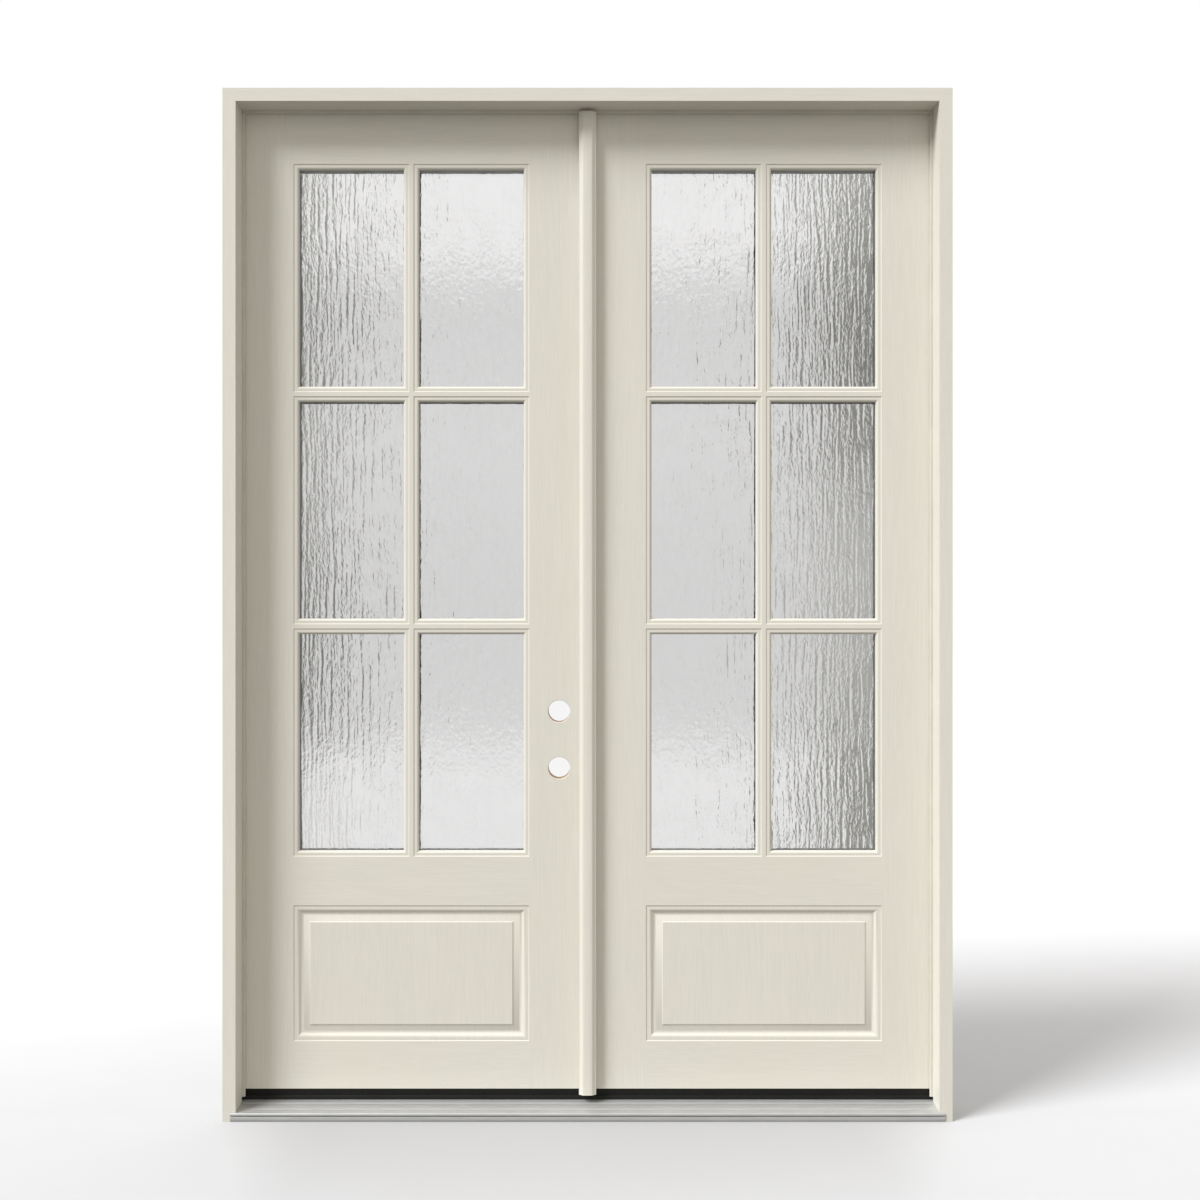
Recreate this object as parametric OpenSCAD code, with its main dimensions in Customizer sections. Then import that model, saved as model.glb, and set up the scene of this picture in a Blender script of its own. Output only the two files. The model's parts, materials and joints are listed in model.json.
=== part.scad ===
// French doors: a pair of glazed, inward opening leaves hung in their own frame.
// Millimetres. X runs left to right as seen from outside, Y from outside to inside, Z up.
// The origin is at the middle of the sill base, halfway through the depth of the jambs.

/* [Frame] */
// Overall width across the side jambs
frame_w = 1763; // [1600:1:1900]
// Overall height from the sill base to the top of the head
frame_h = 2496; // [2300:1:2600]
// Depth of the jambs from their outside face to their inside face
jamb_d = 115.9; // [112:0.1:170]
// Thickness of the jamb board behind its stop
board_t = 19.05; // [17:0.05:25]
// How far the stop stands out from the jamb board
stop_t = 12.7; // [10:0.1:16]
// Room between the stop and a closed leaf, filled by the weatherstrip
seal_gap = 9; // [8:0.5:11]
// How far the weatherstrip shows past the stop
seal_reveal = 7.7; // [2:0.1:9]

/* [Sill] */
// Height of the deck at its front nose
nose_z = 21; // [19:0.5:24]
// Height of the deck where it meets the threshold cap
deck_z = 27.4; // [25:0.1:29]
// Height of the top of the threshold cap
cap_z = 38; // [36:0.5:39]
// Thickness of the aluminium deck
deck_t = 2; // [1.5:0.1:3]
// Number of grooves along the deck
grooves = 2; // [1:1:3]

/* [Leaves] */
// Thickness of a leaf
leaf_t = 44.45; // [44:0.05:48]
// Height of the foot of a leaf above the sill base
foot_z = 54.4; // [54:0.1:60]
// Clearance round a closed leaf
leaf_gap = 3.2; // [2.5:0.1:4]
// Thickness of the moulded skins
skin_t = 2.4; // [1.8:0.1:3]
// Width of the stile face beside the glazing
stile_face = 134.2; // [125:0.1:150]
// Height of the rail face above the glazing
top_face = 139.2; // [120:0.1:160]
// Height of the rail face between the glazing and the panel
middle_face = 119.4; // [100:0.1:140]
// Height of the rail face under the panel
foot_face = 118.6; // [100:0.1:150]
// Height of the raised panel across its moulding
panel_h = 334.6; // [250:0.1:400]
// Width of the timber stiles inside a leaf
stile_w = 30; // [28:1:31]
// Height of the timber rails inside a leaf
rail_h = 44; // [40:1:70]

/* [Glazing] */
// Panes across a leaf
columns = 2; // [1:1:3]
// Panes up a leaf
rows = 3; // [2:1:5]
// Width of the moulding round the glass
rim_w = 14.2; // [13:0.1:20]
// Width of the flat crest of a glazing bar
crest_w = 10.6; // [8:0.1:16]
// Thickness of one pane of glass
pane_t = 3.2; // [3:0.1:4]
// Thickness of the sealed glass unit
unit_t = 25.45; // [20:0.05:26]

/* [Meeting stiles] */
// Width of the cover strip of the astragal
cover_w = 42; // [38:1:48]
// Thickness of the astragal's stem between the leaves
stem_t = 16; // [15:0.5:19]
// How far the cover strip stands out from the leaves
cover_t = 26; // [15:0.5:28]
// Height of the foot of the astragal above the sill base
astragal_z = 46.8; // [40.5:0.1:48]
// Throw of the flush bolts
bolt_throw = 19.05; // [15:0.05:19.5]
// Radius of the flush bolts
bolt_r = 4.5; // [4:0.1:4.5]

/* [Lock preparation] */
// Radius of the two bores across the leaf
bore_r = 27; // [20:0.5:27]
// Distance from the leaf's edge to the middle of the bores
backset = 60.325; // [59:0.025:70]
// Height of the lower bore above the foot of the leaf
latch_z = 790.8; // [700:0.1:950]
// Distance between the two bores
bore_spacing = 139.7; // [120:0.1:160]
// Radius of the bores in from the leaf's edge
edge_bore_r = 12.7; // [11:0.1:12.7]

/* [Hinges] */
// Hinges on each leaf
hinges = 4; // [3:1:5]
// Height of a hinge
hinge_h = 101.6; // [88.9:0.1:114.3]
// Width of a hinge plate let into the wood
plate_w = 31.75; // [29:0.25:34]
// Thickness of a hinge plate
plate_t = 2.5; // [2:0.1:3]
// Radius of the corners of a hinge plate
plate_r = 15.9; // [6:0.1:15.9]
// Radius of the knuckles
knuckle_r = 6.5; // [6:0.1:6.6]
// Radius of the hinge pins
pin_r = 3.5; // [3:0.1:4]

/* [Hidden] */
$fn = 48;

PAINT = [0.86, 0.84, 0.79];
WOOD = [0.76, 0.62, 0.44];
METAL = [0.74, 0.75, 0.76];
BLACK = [0.09, 0.09, 0.09];
GLASS = [0.78, 0.84, 0.84, 0.55];

cut = 1;                                // length by which a cutting solid passes a face
fit = 0.05;                             // clearance all round a pin or a bolt
front_y = -jamb_d / 2;
back_y = jamb_d / 2;
leaf_y = back_y - leaf_t;               // outside face of the leaves
stop_y = leaf_y - seal_gap;             // back face of the stops
board_x = frame_w / 2 - board_t;        // inner face of the side jamb boards
stop_x = board_x - stop_t;              // inner face of the side stops
board_z = frame_h - board_t;            // underside of the head board
stop_z = board_z - stop_t;              // underside of the head stop
edge_x = board_x - leaf_gap;            // hinge edges of the leaves
meet_x = (stem_t + leaf_gap) / 2;       // meeting edges of the leaves
leaf_w = edge_x - meet_x;
leaf_h = board_z - leaf_gap - foot_z;

// The glazing and the panel, in a leaf's own frame
lite_w = leaf_w - 2 * stile_face;
panel_z = foot_face;
lite_z = panel_z + panel_h + middle_face;
lite_h = leaf_h - top_face - lite_z;
pane_v = (leaf_t - unit_t) / 2;         // depth of the glass behind the leaf's face
leg_w = 4.9;                            // thickness of the legs that join the two lite frames
glass_u = 5.6;                          // the edge of the glass from the outside of the rim
bar_w = crest_w + 2 * rim_w;            // width of a glazing bar at the glass
field_u = 41.5;                         // width of the moulding and bevel of the raised panel
field_v = 0.2;                          // depth of its field below the leaf's face

lock_zs = [latch_z, latch_z + bore_spacing];
lock_x = leaf_w - backset;
block_w = 90;
block_h = 330;
block_z = latch_z + bore_spacing / 2;

// Hinges: a pin stands on the inside of the gap between a leaf and its jamb
pivot_x = board_x - leaf_gap / 2;
pivot_y = back_y + 7;
first_hinge_z = 330;
last_hinge_z = leaf_h - 228.6;
hinge_zs = [for (i = [0:hinges - 1])
    foot_z + first_hinge_z + (last_hinge_z - first_hinge_z) * i / (hinges - 1)];
knuckles = 5;
knuckle_h = hinge_h / knuckles;
knuckle_gap = 0.3;
// Screws of a hinge plate: distance in from the barrel and height from its middle
plate_screws = [[9, 38], [22, 16], [22, -16], [9, -38]];

bolt_x = (board_x - edge_x) / 2;        // the bolts run up the middle of the stem
bolt_y = back_y - 20;
bolt_l = 220;
bolt_inset = 1;                         // a drawn bolt ends this far inside the astragal
bolt_room = 10.75;                      // free depth past a thrown bolt, in the sill
astragal_top = stop_z - seal_reveal - 0.6;
stem_top = board_z - leaf_gap;
strike_r = bolt_r + 1;

// Points on a smooth S from a to b, level at both ends
function ogee(a, b, n = 8) = [for (i = [0:n])
    [a.x + (b.x - a.x) * i / n, a.y + (b.y - a.y) * (1 - cos(180 * i / n)) / 2]];
// Points on an arc about c from angle a0 to a1
function arc(c, r, a0, a1, n = 6) = [for (i = [0:n])
    c + r * [cos(a0 + (a1 - a0) * i / n), sin(a0 + (a1 - a0) * i / n)]];
function shifted(points, v) = [for (p = points) p + [0, v]];
function reversed(points) = [for (i = [len(points) - 1:-1:0]) points[i]];

// ---- helpers ----

// What is drawn for the left hand is mirrored for the right
module hand(side) {
    if (side == "right") mirror([1, 0, 0]) children();
    else children();
}

// A leaf's own frame: x from its hinge edge, y in from its outside face, z up from its foot
module in_leaf(side) {
    hand(side) translate([-edge_x, leaf_y, foot_z]) children();
}

// The same with y counted from the inside face outwards
module from_inside() {
    translate([0, leaf_t, 0]) mirror([0, 1, 0]) children();
}

// An outline drawn in (y, z), extruded along x from x0 to x1
module along_x(x0, x1) {
    translate([x0, 0, 0]) rotate([90, 0, 90]) linear_extrude(x1 - x0) children();
}

// A cylinder along x from x0, of length l
module rod_x(p, l, r) {
    translate(p) rotate([0, 90, 0]) cylinder(h = l, r = r);
}

// A bar of length l along x, mitred at both ends. Its outline is drawn as
// (distance in from its outer edge, depth behind the face).
module mitred_bar(l, reach) {
    intersection() {
        translate([l, 0, 0]) rotate([0, -90, 0]) linear_extrude(l) children();
        translate([0, leaf_t, 0]) rotate([90, 0, 0]) linear_extrude(2 * leaf_t)
            polygon([[0, 0], [l, 0], [l - reach, reach], [reach, reach]]);
    }
}

// Four mitred bars round a rectangle w by h
module mitred_frame(w, h, reach) {
    mitred_bar(w, reach) children();
    translate([w, 0, h]) rotate([0, 180, 0]) mitred_bar(w, reach) children();
    translate([0, 0, h]) rotate([0, 90, 0]) mitred_bar(h, reach) children();
    translate([w, 0, 0]) rotate([0, -90, 0]) mitred_bar(h, reach) children();
}

// A countersunk screw that points along +x, its head face at the origin
module screw(l, r, head_r, head_h) {
    rotate([0, 90, 0]) {
        cylinder(h = head_h, r1 = head_r, r2 = r, $fn = 24);
        translate([0, 0, head_h]) cylinder(h = l - head_h, r = r, $fn = 24);
    }
}

// ---- hinges ----

// Outline of a hinge plate in (y, z): its straight edge at y = 0, round corners at the far side
module plate_outline() {
    translate([-(plate_w - plate_r), -hinge_h / 2]) square([plate_w - plate_r, hinge_h]);
    translate([-plate_w, -hinge_h / 2 + plate_r]) square([plate_w, hinge_h - 2 * plate_r]);
    for (s = [-1, 1])
        translate([-(plate_w - plate_r), s * (hinge_h / 2 - plate_r)]) circle(plate_r);
}

// The recess that a plate is let into, or the plate itself, between x0 and x1
module plate_solid(z, x0, x1) {
    translate([0, back_y, z]) along_x(x0, x1) plate_outline();
}

// Screws of all plates of one kind: on the jamb they point to -x, on the leaf to +x
module plate_screw_set(on_jamb) {
    shank = on_jamb ? 17.5 : 26;
    for (z = hinge_zs, p = plate_screws)
        translate([on_jamb ? -board_x : -edge_x, back_y - p[0], z + p[1]])
            mirror([on_jamb ? 1 : 0, 0, 0]) screw(shank, 2.3, 4.4, plate_t);
}

// Hinge plates with their knuckles, which turn on the pins
module plate_set(x0, x1, own) {
    for (z = hinge_zs) difference() {
        union() {
            plate_solid(z, x0, x1);
            for (k = own) {
                z0 = z - hinge_h / 2 + k * knuckle_h + knuckle_gap / 2;
                translate([-pivot_x, pivot_y, z0]) cylinder(h = knuckle_h - knuckle_gap, r = knuckle_r);
                translate([x0, back_y - cut, z0])
                    cube([x1 - x0, pivot_y - back_y + cut, knuckle_h - knuckle_gap]);
            }
        }
        translate([-pivot_x, pivot_y, z - hinge_h]) cylinder(h = 2 * hinge_h, r = pin_r + fit);
    }
}

module jamb_hinge_plates(side) {
    color(METAL) hand(side) difference() {
        plate_set(-board_x - plate_t, -board_x, [0, 2, 4]);
        plate_screw_set(true);
    }
}

module leaf_hinge_plates(side) {
    color(METAL) hand(side) difference() {
        plate_set(-edge_x, -edge_x + plate_t, [1, 3]);
        plate_screw_set(false);
    }
}

module jamb_hinge_screws(side) {
    color(METAL) hand(side) plate_screw_set(true);
}

module leaf_hinge_screws(side) {
    color(METAL) hand(side) plate_screw_set(false);
}

module hinge_pins(side) {
    cap_h = 3;
    cap_r = knuckle_r - 1;
    color(METAL) hand(side) for (z = hinge_zs) translate([-pivot_x, pivot_y, z]) {
        translate([0, 0, -hinge_h / 2 + 1]) cylinder(h = hinge_h, r = pin_r);
        translate([0, 0, hinge_h / 2 + 0.2]) cylinder(h = cap_h, r = cap_r);
        translate([0, 0, hinge_h / 2 + 0.2 + cap_h]) cylinder(h = 1.5, r1 = cap_r, r2 = cap_r - 2);
    }
}

// ---- frame ----

// Outline of the deck's top, from its nose to its back edge, in (y, z)
deck_back_y = leaf_y + 8;
nose_r = 3;
deck_slope = (deck_z - nose_z) / (leaf_y - front_y);
function deck_top(y) = nose_z + (y - front_y) * deck_slope;
groove_pitch = (leaf_y - front_y - 6.5) / grooves;
groove_d = 0.8;
groove_w = 6;
function groove(i) = let (y = front_y + 16 + i * groove_pitch) [
    [y, deck_top(y)], [y + 1.5, deck_top(y + 1.5) - groove_d],
    [y + groove_w - 1.5, deck_top(y + groove_w - 1.5) - groove_d],
    [y + groove_w, deck_top(y + groove_w)]];
deck_clear = 0.3;                       // room between the stops and the deck
nose_points = arc([front_y - 1, nose_z - nose_r], nose_r, 180, 90);
deck_edge = concat(nose_points, [for (i = [0:grooves - 1]) each groove(i)],
    [[deck_back_y, deck_top(deck_back_y)]]);
deck_under = [[deck_back_y, deck_top(deck_back_y) - deck_t], [front_y, nose_z - deck_t - 0.2],
    [front_y, 15.2], [front_y + 3, 14.4], [front_y + 3, 12.2], [front_y - 1, 11.4],
    [front_y - 1, 4.6], [front_y + 0.6, 0], [front_y - 1.4, 0], [front_y - 3, 4.6],
    [front_y - 3, 11.9], [front_y + 1, 13], [front_y + 1, 13.6], [front_y - 4, 15.2]];

module deck_outline() {
    polygon(concat(deck_edge, deck_under));
}

// Everything under the deck's top surface, to notch the stops with
module under_deck() {
    along_x(-board_x, board_x)
        polygon([[front_y - 10, -cut], [front_y - 10, nose_z], [front_y, nose_z + deck_clear],
            [leaf_y, deck_z + deck_clear], [leaf_y, -cut]]);
}

module sill_deck() {
    color(METAL) along_x(-board_x, board_x) deck_outline();
}

cap_front_y = leaf_y + 1;
cap_back_y = back_y + 2;
bed_z = 29.5;                           // top of the substrate under the cap
bed_y = deck_back_y;

module sill_substrate() {
    color(WOOD) difference() {
        along_x(-board_x, board_x) polygon([
            [front_y + 3, 0], [front_y + 3, 12.2], [front_y + 3, 14.4], [front_y + 3, 16],
            [front_y + 3, deck_top(front_y + 3) - deck_t - 0.4],
            [bed_y, deck_top(bed_y) - deck_t], [bed_y, bed_z], [back_y, bed_z], [back_y, 0]]);
        threshold_screw_set();
        translate([bolt_x, bolt_y, bottom_bolt_z - bolt_throw - bolt_room])
            cylinder(h = bed_z, r = strike_r);
        sill_screw_set();
    }
}

module threshold_screw_set() {
    head_h = 2.6;
    for (i = [-2.5:1:2.5]) translate([i * 320, back_y - 10, cap_z - 1.5])
        rotate([0, 90, 0]) screw(24, 2.2, 4.6, head_h);
}

module threshold_screws() {
    color(METAL) threshold_screw_set();
}

module threshold_cap() {
    color(BLACK) difference() {
        along_x(-board_x, board_x) polygon(concat(
            [[cap_front_y, deck_top(cap_front_y)], [bed_y, deck_top(bed_y)], [bed_y, bed_z],
             [back_y, bed_z], [cap_back_y, bed_z], [cap_back_y, cap_z - 4]],
            arc([cap_back_y - 3, cap_z - 3], 3, 0, 90),
            arc([cap_front_y + 3, cap_z - 3], 3, 90, 180)));
        threshold_screw_set();
        for (i = [-2.5:1:2.5]) translate([i * 320, back_y - 10, cap_z - 1.5])
            cylinder(h = 5, r = 4.6, $fn = 24);
        strike_recess(cap_z - strike_t);
        translate([bolt_x, bolt_y, 0]) cylinder(h = frame_h / 2, r = strike_r);
    }
}

// Small plates that the flush bolts pass through, at the cap and at the head
strike_t = 1.6;
strike_l = 44;
strike_w = 19;

module strike_recess(z) {
    translate([bolt_x - strike_l / 2, bolt_y - strike_w / 2, z])
        cube([strike_l, strike_w, strike_t + cut]);
}

module bolt_strike(z) {
    difference() {
        translate([bolt_x - strike_l / 2, bolt_y - strike_w / 2, z]) cube([strike_l, strike_w, strike_t]);
        translate([bolt_x, bolt_y, z - cut]) cylinder(h = strike_t + 2 * cut, r = strike_r);
        for (s = [-1, 1]) translate([bolt_x + s * 16, bolt_y, z - cut])
            cylinder(h = strike_t + 2 * cut, r = 2, $fn = 24);
    }
}

module head_bolt_strike() {
    color(METAL) bolt_strike(board_z);
}

module sill_bolt_strike() {
    color(METAL) bolt_strike(cap_z - strike_t);
}

// Slot in the jamb board that the weatherstrip's barb is pushed into
kerf_t = 2.8;
kerf_d = 9;

// The weatherstrip's outline in (distance out from the board, depth behind the stop)
seal_w = stop_t + seal_reveal;
seal_t = seal_gap - 0.3;
module seal_outline() {
    polygon(concat([[-kerf_d + 0.6, 0.4], [-kerf_d + 0.6, kerf_t - 0.4], [0, kerf_t - 0.4]],
        [[0.4, seal_t - 1.2], [1.6, seal_t]],
        arc([seal_w - 4, seal_t - 4], 4, 90, 0),
        [[seal_w, 1.2], [seal_w - 1.2, 0], [0, 0], [0, 0.4]]));
}

module side_jamb(side) {
    color(PAINT) hand(side) difference() {
        union() {
            translate([-frame_w / 2, front_y, 0]) cube([board_t, jamb_d, board_z]);
            translate([-board_x, front_y, 0]) cube([stop_t, stop_y - front_y, board_z]);
        }
        under_deck();
        translate([-board_x - kerf_d, stop_y, cap_z]) cube([kerf_d + cut, kerf_t, frame_h]);
        for (z = hinge_zs) plate_solid(z, -board_x - plate_t, -board_x + cut);
        plate_screw_set(true);
        head_screw_set();
        sill_screw_set();
    }
}

module head_jamb() {
    color(PAINT) difference() {
        union() {
            translate([-frame_w / 2, front_y, board_z]) cube([frame_w, jamb_d, board_t]);
            translate([-stop_x, front_y, stop_z]) cube([2 * stop_x, stop_y - front_y, stop_t]);
        }
        translate([-board_x, stop_y, board_z - cut]) cube([2 * board_x, kerf_t, kerf_d + cut]);
        strike_recess(board_z - cut);
        translate([bolt_x, bolt_y, board_z - cut]) cylinder(h = board_t + 2 * cut, r = strike_r);
        head_screw_set();
    }
}

// Screws down through the head into the ends of the side jambs
module head_screw_set() {
    for (s = [-1, 1], y = [-40, 0, 40])
        translate([s * (frame_w / 2 - board_t / 2), y, frame_h]) rotate([0, 90, 0])
            screw(60, 2.3, 4.6, 2.8);
}

// Screws in through the side jambs into the sill
module sill_screw_set() {
    for (s = [-1, 1], y = [-25, 30])
        translate([s * frame_w / 2, y, 10]) mirror([s > 0 ? 1 : 0, 0, 0]) screw(58, 2.3, 4.6, 2.8);
}

module frame_screws() {
    color(METAL) {
        head_screw_set();
        sill_screw_set();
    }
}

module side_weatherstrip(side) {
    color(WOOD) hand(side) translate([-board_x, stop_y, cap_z])
        linear_extrude(board_z - seal_w - cap_z) seal_outline();
}

module head_weatherstrip() {
    color(WOOD) translate([0, stop_y, board_z]) rotate([0, 90, 0])
        translate([0, 0, -board_x]) linear_extrude(2 * board_x) seal_outline();
}

// ---- leaves ----

// The edge that the panel and the glazing share: a small step down and a narrow lip
lip_line = [[0, 0], [1.3, 1.5], [2.2, 1.75], [7.4, 1.45]];
// The line of the raised panel's face: the lip, an ogee, a bevel and the field's edge
panel_line = concat(lip_line, ogee([8, 1.5], [21, 7.4]), [[22.5, 7.4], [40, 2.2], [field_u, field_v]]);

module at_panel() {
    translate([stile_face, 0, panel_z]) children();
}

module at_lite() {
    translate([stile_face, 0, lite_z]) children();
}

// The moulded sheet of the raised panel
module panel_sheet() {
    at_panel() {
        mitred_frame(lite_w, panel_h, field_u)
            polygon(concat(panel_line, reversed(shifted(panel_line, skin_t))));
        translate([field_u, field_v, field_u])
            cube([lite_w - 2 * field_u, skin_t, panel_h - 2 * field_u]);
    }
}

// The hollow behind the leaf's flat skin that the raised panel's sheet dips into
module panel_recess() {
    at_panel() {
        mitred_frame(lite_w, panel_h, field_u)
            polygon(concat(shifted(panel_line, skin_t), [[field_u, 0], [0, 0]]));
        translate([field_u, 0, field_u])
            cube([lite_w - 2 * field_u, skin_t + field_v, panel_h - 2 * field_u]);
    }
}

// The opening that the lite frames and the glass stand in
module lite_cutout() {
    at_lite() translate([0, -cut, 0]) cube([lite_w, leaf_t + 2 * cut, lite_h]);
}

// Bores for a lock, drilled across the leaf and in from its edge
module lock_bores() {
    face_h = 57.2;
    face_w = 25.4;
    for (z = lock_zs) {
        translate([lock_x, leaf_t + cut, z]) rotate([90, 0, 0])
            cylinder(h = leaf_t + 2 * cut, r = bore_r, $fn = 96);
        rod_x([lock_x, leaf_t / 2, z], backset + cut, edge_bore_r);
        translate([leaf_w - 3, (leaf_t - face_w) / 2, z - face_h / 2]) cube([3 + cut, face_w, face_h]);
    }
}

module leaf_recesses(side) {
    if (side == "left") lock_bores();
}

module skin_sheet() {
    difference() {
        cube([leaf_w, skin_t, leaf_h]);
        lite_cutout();
        at_panel() translate([0, -cut, 0]) cube([lite_w, skin_t + 2 * cut, panel_h]);
    }
    panel_sheet();
}

module exterior_skin(side) {
    color(PAINT) in_leaf(side) difference() {
        skin_sheet();
        leaf_recesses(side);
    }
}

module interior_skin(side) {
    color(PAINT) difference() {
        in_leaf(side) difference() {
            from_inside() skin_sheet();
            leaf_recesses(side);
        }
        hand(side) for (z = hinge_zs) plate_solid(z, -edge_x - cut, -edge_x + plate_t);
    }
}

core_t = leaf_t - 2 * skin_t;

module hinge_stile(side) {
    color(WOOD) difference() {
        in_leaf(side) translate([0, skin_t, 0]) cube([stile_w, core_t, leaf_h]);
        hand(side) {
            for (z = hinge_zs) plate_solid(z, -edge_x - cut, -edge_x + plate_t);
            plate_screw_set(false);
        }
    }
}

module lock_stile(side) {
    color(WOOD) difference() {
        in_leaf(side) difference() {
            translate([leaf_w - stile_w, skin_t, 0]) cube([stile_w, core_t, leaf_h]);
            leaf_recesses(side);
        }
        if (side == "right") astragal_screw_set();
    }
}

module lock_block(side) {
    color(WOOD) in_leaf(side) difference() {
        translate([leaf_w - stile_w - block_w, skin_t, block_z - block_h / 2])
            cube([block_w, core_t, block_h]);
        leaf_recesses(side);
    }
}

module top_rail(side) {
    color(WOOD) in_leaf(side) translate([stile_w, skin_t, leaf_h - rail_h])
        cube([leaf_w - 2 * stile_w, core_t, rail_h]);
}

module bottom_rail(side) {
    color(WOOD) in_leaf(side) difference() {
        translate([stile_w, skin_t, 0]) cube([leaf_w - 2 * stile_w, core_t, rail_h]);
        sweep_kerfs();
    }
}

module foam_core(side) {
    color([0.93, 0.9, 0.78]) in_leaf(side) difference() {
        translate([stile_w, skin_t, rail_h])
            cube([leaf_w - 2 * stile_w, core_t, leaf_h - 2 * rail_h]);
        lite_cutout();
        panel_recess();
        from_inside() panel_recess();
        translate([leaf_w - stile_w - block_w, 0, block_z - block_h / 2])
            cube([block_w + cut, leaf_t, block_h]);
    }
}

// Two slots up into the bottom rail that hold the sweep's barbs
sweep_ys = [12, 30];
barb_t = 2.4;
barb_h = 9;
module sweep_kerfs() {
    for (y = sweep_ys) translate([0, y, -cut]) cube([leaf_w, barb_t, barb_h + cut]);
}

// The sweep under a leaf: a base, two barbs, a front and a back skirt and three fins
module door_sweep(side) {
    drop = foot_z - cap_z - 0.5;
    color(BLACK) in_leaf(side) {
        translate([0.5, 0, 0]) along_x(0, leaf_w - 1) {
            translate([1.5, -3]) square([leaf_t - 3, 3]);
            translate([1.5, -drop]) square([2.4, drop - 1]);
            translate([leaf_t - 3.9, -drop]) square([2.4, drop - 1]);
            for (y = [11, 21, 31])
                polygon([[y, -2.5], [y + 2.4, -2.5], [y + 0.9, -drop], [y - 0.9, -drop]]);
        }
        for (y = sweep_ys) translate([stile_w, y, -cut]) cube([leaf_w - 2 * stile_w, barb_t, barb_h]);
    }
}

// ---- glazing ----

// Inside its lip, the rim falls to the glass in a quarter round. A bar has the same edge on
// both sides of its crest, which lies level with the leaf's face.
round_u = 7.8;
round_v = 1.5;
rim_line = concat(lip_line, [for (a = [0:15:90])
    [round_u + (rim_w - round_u) * sin(a), round_v + (pane_v - round_v) * (1 - cos(a))]]);
rim_points = concat(rim_line, [[leg_w, pane_v], [leg_w, leaf_t / 2], [0, leaf_t / 2]]);
bar_points = concat([for (p = reversed(rim_line)) [-crest_w / 2 - p.x, p.y]],
    [for (p = rim_line) [crest_w / 2 + p.x, p.y]]);
sight_w = lite_w - 2 * rim_w;
sight_h = lite_h - 2 * rim_w;
bar_xs = [for (i = [1:1:columns - 1]) rim_w + (sight_w + bar_w) * i / columns - bar_w / 2];
bar_zs = [for (i = [1:1:rows - 1]) rim_w + (sight_h + bar_w) * i / rows - bar_w / 2];

// Rim and glazing bars of one face, moulded in one piece
module lite_moulding() {
    mitred_frame(lite_w, lite_h, rim_w) polygon(rim_points);
    for (x = bar_xs) translate([x, 0, 0]) linear_extrude(lite_h) polygon(bar_points);
    for (z = bar_zs) translate([lite_w, 0, z]) rotate([0, -90, 0])
        linear_extrude(lite_w) polygon(bar_points);
}

// Places of the screws that draw the two lite frames together, along the legs
lite_screw_u = leg_w / 2;
lite_screw_v = 2.1;                     // depth of their heads below the inside face
lite_screw_r = 2.2;
lite_screw_places = concat(
    [for (x = [lite_screw_u, lite_w - lite_screw_u], f = [0.1, 0.37, 0.63, 0.9]) [x, lite_h * f]],
    [for (z = [lite_screw_u, lite_h - lite_screw_u], f = [0.25, 0.75]) [lite_w * f, z]]);

module lite_screw_set() {
    for (p = lite_screw_places) translate([p[0], leaf_t - lite_screw_v, p[1]]) rotate([0, 0, -90])
        screw(leaf_t / 2 + 12, 1.5, lite_screw_r, 1.4);
}

module lite_screw_access() {
    for (p = lite_screw_places) translate([p[0], leaf_t + cut, p[1]]) rotate([90, 0, 0])
        cylinder(h = cut + lite_screw_v, r = lite_screw_r, $fn = 24);
}

module exterior_lite_frame(side) {
    color(PAINT) in_leaf(side) at_lite() difference() {
        lite_moulding();
        lite_screw_set();
    }
}

module interior_lite_frame(side) {
    color(PAINT) in_leaf(side) at_lite() difference() {
        from_inside() lite_moulding();
        lite_screw_set();
        lite_screw_access();
    }
}

module lite_screws(side) {
    color(METAL) in_leaf(side) at_lite() lite_screw_set();
}

module pane(side, v) {
    color(GLASS) in_leaf(side) at_lite() translate([glass_u, v, glass_u])
        cube([lite_w - 2 * glass_u, pane_t, lite_h - 2 * glass_u]);
}

module exterior_pane(side) {
    pane(side, pane_v);
}

module interior_pane(side) {
    pane(side, pane_v + unit_t - pane_t);
}

module glass_spacer(side) {
    inset = glass_u + 2;
    spacer_w = rim_w - inset - 0.4;
    color(METAL) in_leaf(side) at_lite() difference() {
        translate([inset, pane_v + pane_t, inset])
            cube([lite_w - 2 * inset, unit_t - 2 * pane_t, lite_h - 2 * inset]);
        translate([inset + spacer_w, 0, inset + spacer_w])
            cube([lite_w - 2 * (inset + spacer_w), leaf_t, lite_h - 2 * (inset + spacer_w)]);
    }
}

// ---- astragal, carried by the right leaf ----

stem_x = meet_x - stem_t;               // left face of the stem
cover_flat = 19;
cover_y = leaf_y - cover_t;
cover_edge_y = cover_y + 6;

module cover_outline() {
    polygon(concat([[-cover_w / 2, stop_y]],
        ogee([-cover_w / 2, cover_edge_y], [-cover_flat / 2, cover_y], 6),
        ogee([cover_flat / 2, cover_y], [cover_w / 2, cover_edge_y], 6),
        [[cover_w / 2, leaf_y], [stem_x, leaf_y], [stem_x, stop_y]]));
}

strike_plate_h = 57.2;
strike_plate_w = 25.4;
strike_plate_t = 2;
strike_y = leaf_y + leaf_t / 2;

module strike_plates_at(x, t) {
    for (z = lock_zs)
        translate([x, strike_y - strike_plate_w / 2, foot_z + z - strike_plate_h / 2])
            cube([t, strike_plate_w, strike_plate_h]);
}

// The hollow behind a strike that a bolt or latch enters
module strike_pockets() {
    for (z = lock_zs) translate([stem_x - cut, strike_y - 7, foot_z + z - 14])
        cube([stem_t - 3, 14, 28]);
}

bolt_slot_l = 46;
knob_h = 16;
knob_w = 7;
top_bolt_z = stem_top - bolt_inset - bolt_l;
bottom_bolt_z = astragal_z + bolt_inset;

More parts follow.
